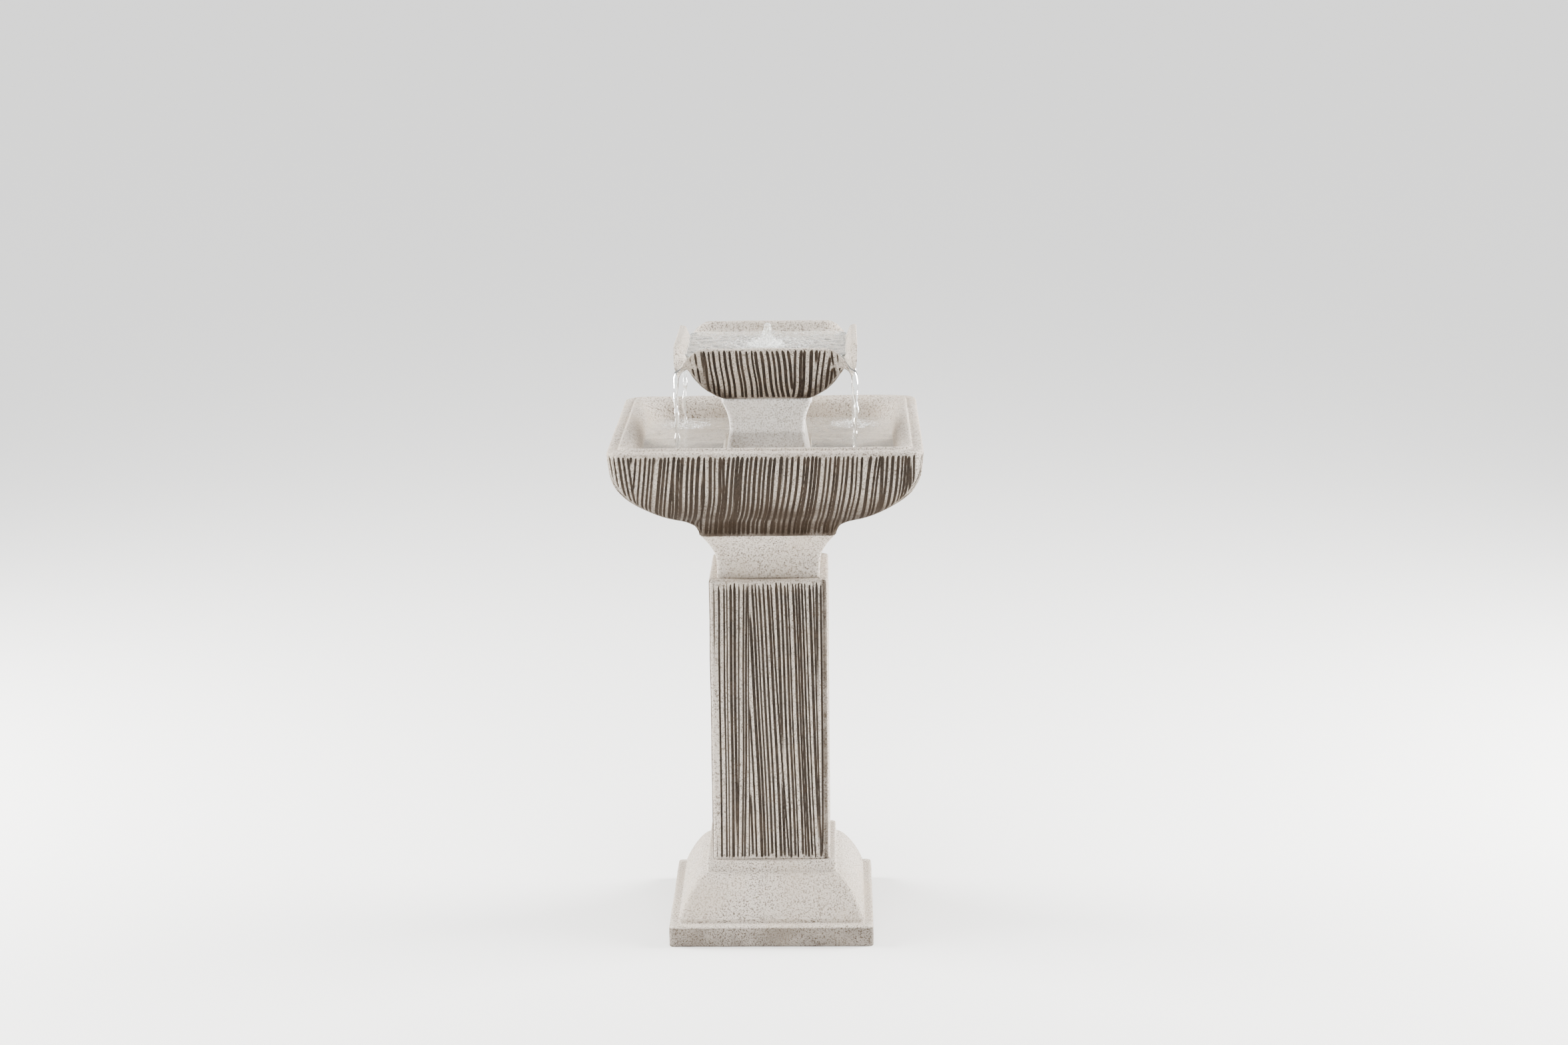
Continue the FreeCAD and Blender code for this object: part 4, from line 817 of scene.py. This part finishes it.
def pressSpouts(points, half, radius, level, stage, shape):
    # Presses a spout into each corner.  On the corner's diagonal every row has a place of its own:
    # rows of the outside above the brow run out under the lip, rows of the rim make the tip, and
    # rows of the inside make a channel from the crest down to the tip.  Away from the diagonal the rows
    # come back to the wall as 2v - v^2, where v is the sideways distance over the mouth's half.
    tipReach, tipLow, tipHigh, crest, brow = take(shape, "tipReach tipLow tipHigh crest brow")
    size = np.abs(points[..., :2])
    out = (size[..., 0] + size[..., 1]) / math.sqrt(2)
    sideways = (size[..., 0] - size[..., 1]) / math.sqrt(2)
    reach = (half - radius) * math.sqrt(2) + radius
    outside, rimRow, inside = (stage == key for key in range(3))
    rowOut, rowLevel = reach.copy(), level.copy()

    under = outside & (level > brow)
    rise = np.clip((level - brow) / (dishTop - brow), 0, 1)[under]
    browReach = np.interp(brow, level[outside], reach[outside])
    rowLevel[under] = brow + (tipLow - brow) * rise ** 1.4
    rowOut[under] = browReach + (tipReach - browReach) * rise ** 0.75
    edge = np.linspace(0, 1, rimRow.sum())
    rowLevel[rimRow] = tipLow + (tipHigh - tipLow) * edge
    rowOut[rimRow] = tipReach + 0.9 * np.sin(math.pi * edge) - 0.8 * edge
    channel = inside & (level > crest)
    crestReach = np.interp(-crest, -level[inside], reach[inside])
    down = np.clip((dishTop - level) / (dishTop - crest), 0, 1)[channel]
    down = (down - down.min()) / (1 - down.min())
    rowLevel[channel] = tipHigh + (crest - tipHigh) * down ** 0.85
    rowOut[channel] = tipReach - 1.6 + (crestReach - tipReach + 1.6) * down ** 0.9

    blunt = 0.006                                    # rounds the line along the diagonal
    near = np.sqrt((sideways / shape["mouth"]) ** 2 + blunt)
    near = np.clip((near - math.sqrt(blunt)) / (1 - math.sqrt(blunt)), 0, 1)
    weight = 1 - (2 * near - near ** 2)
    out = out + weight * (rowOut - reach)[:, None]
    moved = points.copy()
    moved[..., 0] = np.where(points[..., 0] < 0, -1, 1) * (out + sideways) / math.sqrt(2)
    moved[..., 1] = np.where(points[..., 1] < 0, -1, 1) * (out - sideways) / math.sqrt(2)
    moved[..., 2] += weight * (rowLevel - level)[:, None]
    return np.where(weight[..., None] > 0, moved, points), weight


def makeTopBowl(shape, clefts):
    # a small square bowl around a hole; a spout is pressed into each corner
    hole, corner, insideCorner, brow = take(shape, "hole corner insideCorner brow")
    inside = shifted(shape["inside"], 0, dishLow)
    square = lambda half: half * corner
    rounded = lambda half: half * insideCorner
    between = lambda half: half * (corner + (insideCorner - corner) * smoothStep(107, 99, half))
    # towards the hole the square rings below and on the floor turn into circles
    belowHole = lambda half: half * (corner + (1 - corner) * smoothStep(50, 12, half))
    aboveHole = lambda half: half * (insideCorner + (1 - insideCorner) * smoothStep(48, 12, half))
    face = {"corner": square, "fine": True, "straight": True}
    profile = Profile()
    profile.line([(hole, dishFloor - 0.6), (hole, dishLow + 0.6)], 5, lambda half: half)
    profile.line([(hole + 0.8, dishLow), (54, dishLow)], 16, belowHole)
    outlineStart = len(profile.half)
    profile.bend(shifted(shape["outline"], 0, dishLow), 2.5, **face)
    rimStart = len(profile.half)
    profile.bend(shifted(shape["rim"], 0, dishLow), 0.9, **face)
    insideStart = len(profile.half)
    profile.bend(inside[:5], 1.6, between, fine=True)
    profile.add(smoothCurve(inside[4:], 4.0)[1:], rounded)
    profile.line([(48, dishFloor), (hole + 0.8, dishFloor)], 9, aboveHole)
    half, radius, level, fine, straight = profile.arrays()
    rows = np.arange(len(half))
    stage = np.searchsorted((rimStart, insideStart), rows, side="right")

    def shapeDish(points, normals, along):
        outside = (rows >= outlineStart) & (rows <= rimStart)
        depth, share = bowlSides(along, profile, outside, 700, clefts)
        moved, weight = pressSpouts(points, half, radius, level, stage, shape)
        lip = smoothStep(0.12, 0.5, weight) * smoothStep(brow - 4, brow + 6, level)[:, None]
        # painted shadow of each spout's lip on the wall below it
        lipShadow = smoothStep(0.0, 0.3, weight) * smoothStep(brow + 4, brow - 6, level)[:, None]
        # a little darker all over, darker towards the bottom (partly brown stain, partly painted shade),
        # the painted lip shadow, and much less on the lip itself
        stainAndShade = 0.10 + 0.25 * smoothStep(0.5, 1.0, share) + 0.45 * lipShadow
        return moved, depth * (1 - lip), np.where(outside[:, None], stainAndShade * (1 - 0.7 * lip), 0)

    return castPiece("topBowl", profile, 288, True, shapeDish, unevenness=0.26, seed=71)


dress(makeTopBowl(dishShape, dishClefts), "dish", "cast_stone", stone, "top_bowl")
print("castings made")


# ---- fittings that keep their own shape ----
fittingLooks = {
    # dark tone, light tone, roughness, grain, and for some the metal share or the light let through
    "pump_plastic": ((0.012, 0.013, 0.014), (0.024, 0.025, 0.027), 0.42, 1400),
    "fitting_plastic": ((0.016, 0.016, 0.017), (0.03, 0.03, 0.032), 0.35, 1100),
    "impeller_plastic": ((0.18, 0.20, 0.23), (0.25, 0.27, 0.30), 0.40, 1400),
    "seal_rubber": ((0.012, 0.012, 0.012), (0.03, 0.029, 0.028), 0.75, 1700),
    "drain_rubber": ((0.10, 0.095, 0.09), (0.15, 0.145, 0.135), 0.70, 1500),
    "clear_vinyl": ((0.80, 0.84, 0.83), (0.90, 0.93, 0.92), 0.12, 240, 0, 0.85),
    "laminated_steel": ((0.36, 0.36, 0.37), (0.52, 0.52, 0.53), 0.38, 900, 1),
    "copper_wire": ((0.60, 0.24, 0.12), (0.80, 0.38, 0.22), 0.30, 2200, 1),
    "ferrite": ((0.03, 0.03, 0.033), (0.06, 0.06, 0.065), 0.55, 2600),
    "shaft_ceramic": ((0.78, 0.76, 0.72), (0.88, 0.87, 0.84), 0.22, 1800),
}


def fittingMaterial(name, dark, light, rough, grainScale, metal=0, through=0):
    # a fine two-tone grain with a slight roughness of the surface
    recipe = Recipe(name)
    grain = recipe.noise(grainScale, 3, 0.6)
    broad = recipe.noise(grainScale / 14, 3, 0.55)
    tone = recipe.maths("ADD", recipe.times(grain, 0.5), recipe.times(broad, 0.5))
    recipe.fill(recipe.shader, {
        "Base Color": recipe.mixed(recipe.remap(tone, 0.38, 0.62), dark, light),
        "Roughness": recipe.remap(broad, 0.3, 0.7, rough * 0.85, rough * 1.2),
        "Normal": recipe.bump(grain, 0.00012, 0.6), "Metallic": metal, "Transmission Weight": through})
    return recipe.material


fittings = {name: fittingMaterial(name, *look) for name, look in fittingLooks.items()}
for part in frame["record"]["subparts"]:
    if part["material_slot"] in fittings:
        for place in frame["nodes"][part["node"]].material_slots:
            place.material = fittings[part["material_slot"]]
print("fittings finished")


# ---- water ----
# the froth colour is also mixed in evenly over the water as painted sheen
waterLook = {"tint": (0.985, 0.995, 0.99), "froth": (0.93, 0.93, 0.92), "frothRough": 0.45}


def waterMaterial(look):
    # clear water that lets light through to what lies below; the froth-and-sheen attribute is the
    # share of white mixed in: real froth at splashes and the jet, and an even share that is painted sheen
    recipe = Recipe("clearWater")
    ripples = recipe.bump(recipe.noise(75, 3, 0.5, None, 0.6), 0.0012, 0.5)
    glass = recipe.add("ShaderNodeBsdfGlass", {
        "Color": look["tint"], "Roughness": 0.0, "IOR": 1.33, "Normal": ripples})
    clear = recipe.add("ShaderNodeBsdfTransparent")
    shadow = recipe.add("ShaderNodeLightPath").outputs["Is Shadow Ray"]
    body = recipe.add("ShaderNodeMixShader", {0: shadow, 1: glass.outputs[0], 2: clear.outputs[0]})
    recipe.fill(recipe.shader, {"Base Color": look["froth"], "Roughness": look["frothRough"]})
    bubbles = recipe.remap(recipe.cells(330), 0.25, 0.55, 1.0, 0.25)
    lace = recipe.remap(recipe.noise(150, 4, 0.65), 0.34, 0.58)
    share = recipe.times(recipe.times(recipe.attribute("frothAndSheen"), lace), bubbles)
    whole = recipe.add("ShaderNodeMixShader", {0: share, 1: body.outputs[0], 2: recipe.shader.outputs[0]})
    recipe.fill(recipe.output, {"Surface": whole.outputs[0]})
    return recipe.material


water = waterMaterial(waterLook)
splash = 113.0                                       # where the streams land, along x and y
corners = np.array([(-1, -1), (1, -1), (1, 1), (-1, 1)], float)


def spheres(centres, radii):
    # small eight-sided beads as one array of points and one of triangles
    height = np.array([-0.78, 0.0, 0.78])
    belt = lathe(np.sqrt(1 - height ** 2), height, np.linspace(0, 2 * math.pi, 8, endpoint=False))
    bead = np.concatenate([belt.reshape(-1, 3), [(0, 0, -1), (0, 0, 1)]])
    points = centres[:, None] + bead * radii[:, None, None]
    first = np.arange(len(centres)) * len(bead)
    faces = stitch(ringTable(3, 8), False, 24) + first[:, None, None]
    return points.reshape(-1, 3), faces.reshape(-1, 3)


def joinParts(parts):
    # puts (points, faces, froth-and-sheen share) groups together
    starts = np.cumsum([0] + [len(points) for points, faces, frothAndSheen in parts[:-1]])
    return (np.concatenate([points for points, faces, frothAndSheen in parts]),
            np.concatenate([faces + start for (points, faces, frothAndSheen), start in zip(parts, starts)]),
            np.concatenate([np.broadcast_to(frothAndSheen, len(points)) for points, faces, frothAndSheen in parts]))


def waterSheet(profile, count, closed, surface):
    # a flat sheet of water; its upper side is lifted by `surface`, which also tells the white share: froth,
    # and painted sheen
    points, normals, table, along = castGrid(profile, count, closed)
    lift, frothAndSheen = surface(points * (1, 1, 0))
    upper = normals[..., 2] > 0.5
    points[..., 2] += lift * upper
    frothAndSheen = np.append(frothAndSheen * upper, np.zeros(0 if closed else 2))
    return points.reshape(-1, 3) if closed else withEnds(points), stitch(table, closed, upper.size), frothAndSheen


def ringWaves(away, bent, values, power):
    # rings that die out: ripple x cos(2 pi bent / wave) x e^-(away / reach)^power
    rings = np.cos(2 * math.pi * bent / values["wave"])
    return values["ripple"] * rings * np.exp(-(away / values["reach"]) ** power)


basinWater = {"overlap": 0.5, "gap": 0.5, "ripple": 1.0, "wave": 9.5, "reach": 34.0, "bubbles": 46}


def makeBasinWater(values):
    # The water fills the bowl.  It reaches a little into the stone, so that no air shows between.
    level, overlap, gap = waterLevel["basin"], values["overlap"], values["gap"]
    inside = shifted(bowlShape["wall"] + bowlShape["inside"], 0, bowlLow)
    outer = np.interp(-level, -inside[:, 1], inside[:, 0]) + overlap
    wall = shifted(inside[inside[:, 1] < level - 1][::-1], overlap)
    wall[:, 1] -= overlap * smoothStep(142, 122, wall[:, 0])
    pillarLine = shifted([(62, 0), (62, 7.5)] + pillarShape["outline"], gap, basinFloor)
    pillarLine = pillarLine[pillarLine[:, 1] < level - 1][::-1]
    inner, low = pillarLine[0, 0], wall[0, 1]
    rounded = lambda half: 5.5 + (half * bowlShape["insideCorner"] - 5.5) * smoothStep(inner + 6, 110, half)
    profile = Profile()
    profile.line([(66, low), (wall[0, 0] - 4, low)], 20, rounded)
    profile.bend(wall, 6, rounded)
    profile.line([(outer, level - 1.5), (outer, level)], 1.5, rounded, fine=True)
    profile.line([(outer - 1.5, level), (inner + 1.5, level)], 2.2, rounded, fine=True)
    profile.add([(inner, level), (inner, level - 2)], rounded, fine=True)
    profile.add(pillarLine, rounded)

    def surface(place):
        x, y = place[..., 0], place[..., 1]
        lift = 0.34 * waves(place, 30, 81) + 0.14 * waves(place, 11, 82)
        # an even white share over the whole sheet is painted sheen; the rise near the landings is froth
        frothAndSheen = np.full_like(x, 0.24)
        for cx, cy in corners * splash:
            away = np.hypot(x - cx, y - cy)
            bent = away * (1 + 0.10 * waves(place, 26, 83))
            lift -= ringWaves(away, bent, values, 1.3)
            frothAndSheen += 1.6 * np.exp(-(away / 20) ** 2) + 0.9 * np.exp(-((bent - 25) / 6) ** 2)
        edge = smoothStep(outer - 0.5, outer - 7, np.maximum(np.abs(x), np.abs(y)))
        return lift * edge, np.clip(frothAndSheen, 0, 1)

    random = np.random.default_rng(84)
    turn = random.uniform(0, 2 * math.pi, (4, values["bubbles"]))
    away = 21 * np.sqrt(random.uniform(0.02, 1, turn.shape))
    centres = np.stack([corners[:, :1] * splash + away * np.cos(turn),
                        corners[:, 1:] * splash + away * np.sin(turn), np.full_like(turn, level)], -1)
    beads, beadFaces = spheres(centres.reshape(-1, 3), random.uniform(0.7, 1.9, turn.size))
    points, faces, frothAndSheen = joinParts([waterSheet(profile, 124, True, surface), (beads, beadFaces, 0.35)])
    return makePiece("basinWater", points, faces, {"frothAndSheen": frothAndSheen})


dress(makeBasinWater(basinWater), "basin", "water", water)

dishWater = {
    "thickness": 4.5, "edge": 0.2, "ripple": 0.8, "wave": 11.0, "reach": 46.0,
    # distance out along the diagonal, level, half width and half thickness of a stream
    "stream": [(125.0, 771.4, 12.5, 1.0), (131.0, 769.6, 11.8, 1.7), (137.0, 766.3, 10.2, 1.9),
               (143.0, 762.3, 8.2, 1.9), (149.0, 758.4, 6.6, 2.0), (154.0, 755.0, 5.8, 2.2),
               (157.6, 750.0, 5.4, 2.7), (158.8, 742.0, 5.2, 3.0), (159.2, 730.0, 4.6, 2.9),
               (159.2, 712.0, 3.9, 2.7), (159.1, 690.0, 3.3, 2.4), (159.0, 668.0, 2.9, 2.2),
               (158.9, 646.6, 2.7, 2.1)],
    "jet": [(23.0, 768.6), (22.5, 771.6), (19.0, 774.2), (14.5, 776.4), (10.0, 778.6), (7.2, 782.0),
            (5.8, 787.0), (5.0, 792.0), (4.0, 796.0), (2.2, 798.8), (0.5, 799.8)],
    "drops": 34,
}


def makeStream(values, corner, seed):
    # a tube along the path; its cross-section is an ellipse that swells, sways and twists a little
    random = np.random.default_rng(seed)
    path = smoothCurve(values["stream"], 1.6)
    out, level, wide, thick = path.T
    slope = np.gradient(path[:, :2], axis=0)
    slope /= np.linalg.norm(slope, axis=1)[:, None]
    fallen = smoothStep(756, 700, level)
    phase = random.uniform(0, 2 * math.pi, 6)
    sway = fallen * (0.9 * np.sin(level / 15 + phase[0]) + 0.5 * np.sin(level / 6.5 + phase[1]))
    push = fallen * 0.7 * np.sin(level / 19 + phase[2])
    swell = 1 + fallen * (0.16 * np.sin(level / 4.6 + phase[3]) + 0.12 * np.sin(level / 2.7 + phase[4]))
    twist = fallen * 1.3 * np.sin(level / 24 + phase[5])
    ends = np.sqrt(np.clip(1 - (1 - smoothStep(0, 3, np.arange(len(level))[::-1])) ** 2, 0.01, 1))
    angle = np.linspace(0, 2 * math.pi, 22, endpoint=False)[None]
    ridge = 1 + 0.10 * np.sin(3 * angle + level[:, None] / 7) * fallen[:, None]
    across = (wide * swell * ends)[:, None] * np.cos(angle) * ridge
    through = (thick * swell * ends)[:, None] * np.sin(angle) * ridge
    cosine, sine = np.cos(twist)[:, None], np.sin(twist)[:, None]
    across, through = across * cosine - through * sine, across * sine + through * cosine
    u = (out + push)[:, None] - slope[:, 1:] * through
    v = sway[:, None] + across
    z = level[:, None] + slope[:, :1] * through
    points = np.stack([(corner[0] * u - corner[1] * v) / math.sqrt(2),
                       (corner[1] * u + corner[0] * v) / math.sqrt(2), z], -1)
    faces = stitch(ringTable(*u.shape), False, u.size)[:, ::-1]
    frothAndSheen = 0.12 * fallen + 0.25 * smoothStep(680, 648, level)
    return withEnds(points), faces, np.append(np.repeat(frothAndSheen, angle.size), [0, 0])


def makeJet(values):
    # the welling jet: a lathe outline, roughened by waves that are strong in the froth at its foot
    radius, level = smoothCurve(values["jet"], 0.55).T
    angle = np.linspace(0, 2 * math.pi, 72, endpoint=False)
    points = lathe(radius, level, angle)
    froth = smoothStep(784, 774, level)
    rough = (0.7 + 1.5 * froth)[:, None] * smoothStep(0.4, 3, radius)[:, None]
    lumps = (waves(points, 7.5, 94) + 0.6 * waves(points, 3.6, 95)) * rough
    points[..., 0] += np.cos(angle) * lumps + 1.2 * smoothStep(778, 800, level)[:, None]
    points[..., 1] += np.sin(angle) * lumps
    points[..., 2] += 0.8 * lumps * smoothStep(769, 773, level)[:, None]
    faces = stitch(ringTable(*lumps.shape), False, lumps.size)
    return withEnds(points), faces, np.append(np.repeat(0.25 + 0.55 * froth, angle.size), [0, 0])


def makeDishWater(values):
    # a level sheet with rings round the jet, the jet with its drops, and the four streams
    level = waterLevel["dish"]
    inside = shifted(dishShape["inside"], 0, dishLow)
    outer = np.interp(-level, -inside[:, 1], inside[:, 0]) - values["edge"]
    low = level - values["thickness"]
    rounded = lambda half: half * dishShape["insideCorner"]
    profile = Profile()
    profile.line([(3, low), (outer - 4, low)], 24, rounded)
    profile.line([(outer - 1.8, low + 0.4), (outer, level)], 3, rounded, fine=True)
    profile.line([(outer - 1.2, level), (3, level)], 1.8, rounded, fine=True)

    def surface(place):
        x, y = place[..., 0], place[..., 1]
        away = np.hypot(x, y)
        bent = away * (1 + 0.06 * waves(place, 24, 91))
        lift = 0.40 * waves(place, 22, 92) + 0.18 * waves(place, 9, 93) + ringWaves(away, bent, values, 1.4)
        edge = smoothStep(outer - 0.4, outer - 6, np.maximum(np.abs(x), np.abs(y)))
        # 0.60 all over is painted sheen; the rise near the jet and along the ring is froth
        frothAndSheen = 0.60 + 0.9 * np.exp(-(away / 29) ** 2) + 0.3 * np.exp(-((bent - 46) / 10) ** 2)
        return lift * edge, np.clip(frothAndSheen, 0, 1)

    random = np.random.default_rng(96)
    drops = values["drops"]
    turn, away = random.uniform(0, 2 * math.pi, drops), random.uniform(6, 25, drops)
    height = 776 + random.uniform(0, 1, drops) ** 2 * 20 * (1 - away / 30)
    centres = np.stack([away * np.cos(turn), away * np.sin(turn), height], -1)
    beads, beadFaces = spheres(centres, random.uniform(0.5, 1.3, drops))
    parts = [waterSheet(profile, 96, False, surface), makeJet(values), (beads, beadFaces, 0.2)]
    parts += [makeStream(values, corner, 900 + index) for index, corner in enumerate(corners)]
    points, faces, frothAndSheen = joinParts(parts)
    return makePiece("dishWater", points, faces, {"frothAndSheen": frothAndSheen})


dress(makeDishWater(dishWater), "dish", "water", water)
print("water made")

# ---- finish ----
print("scene built")
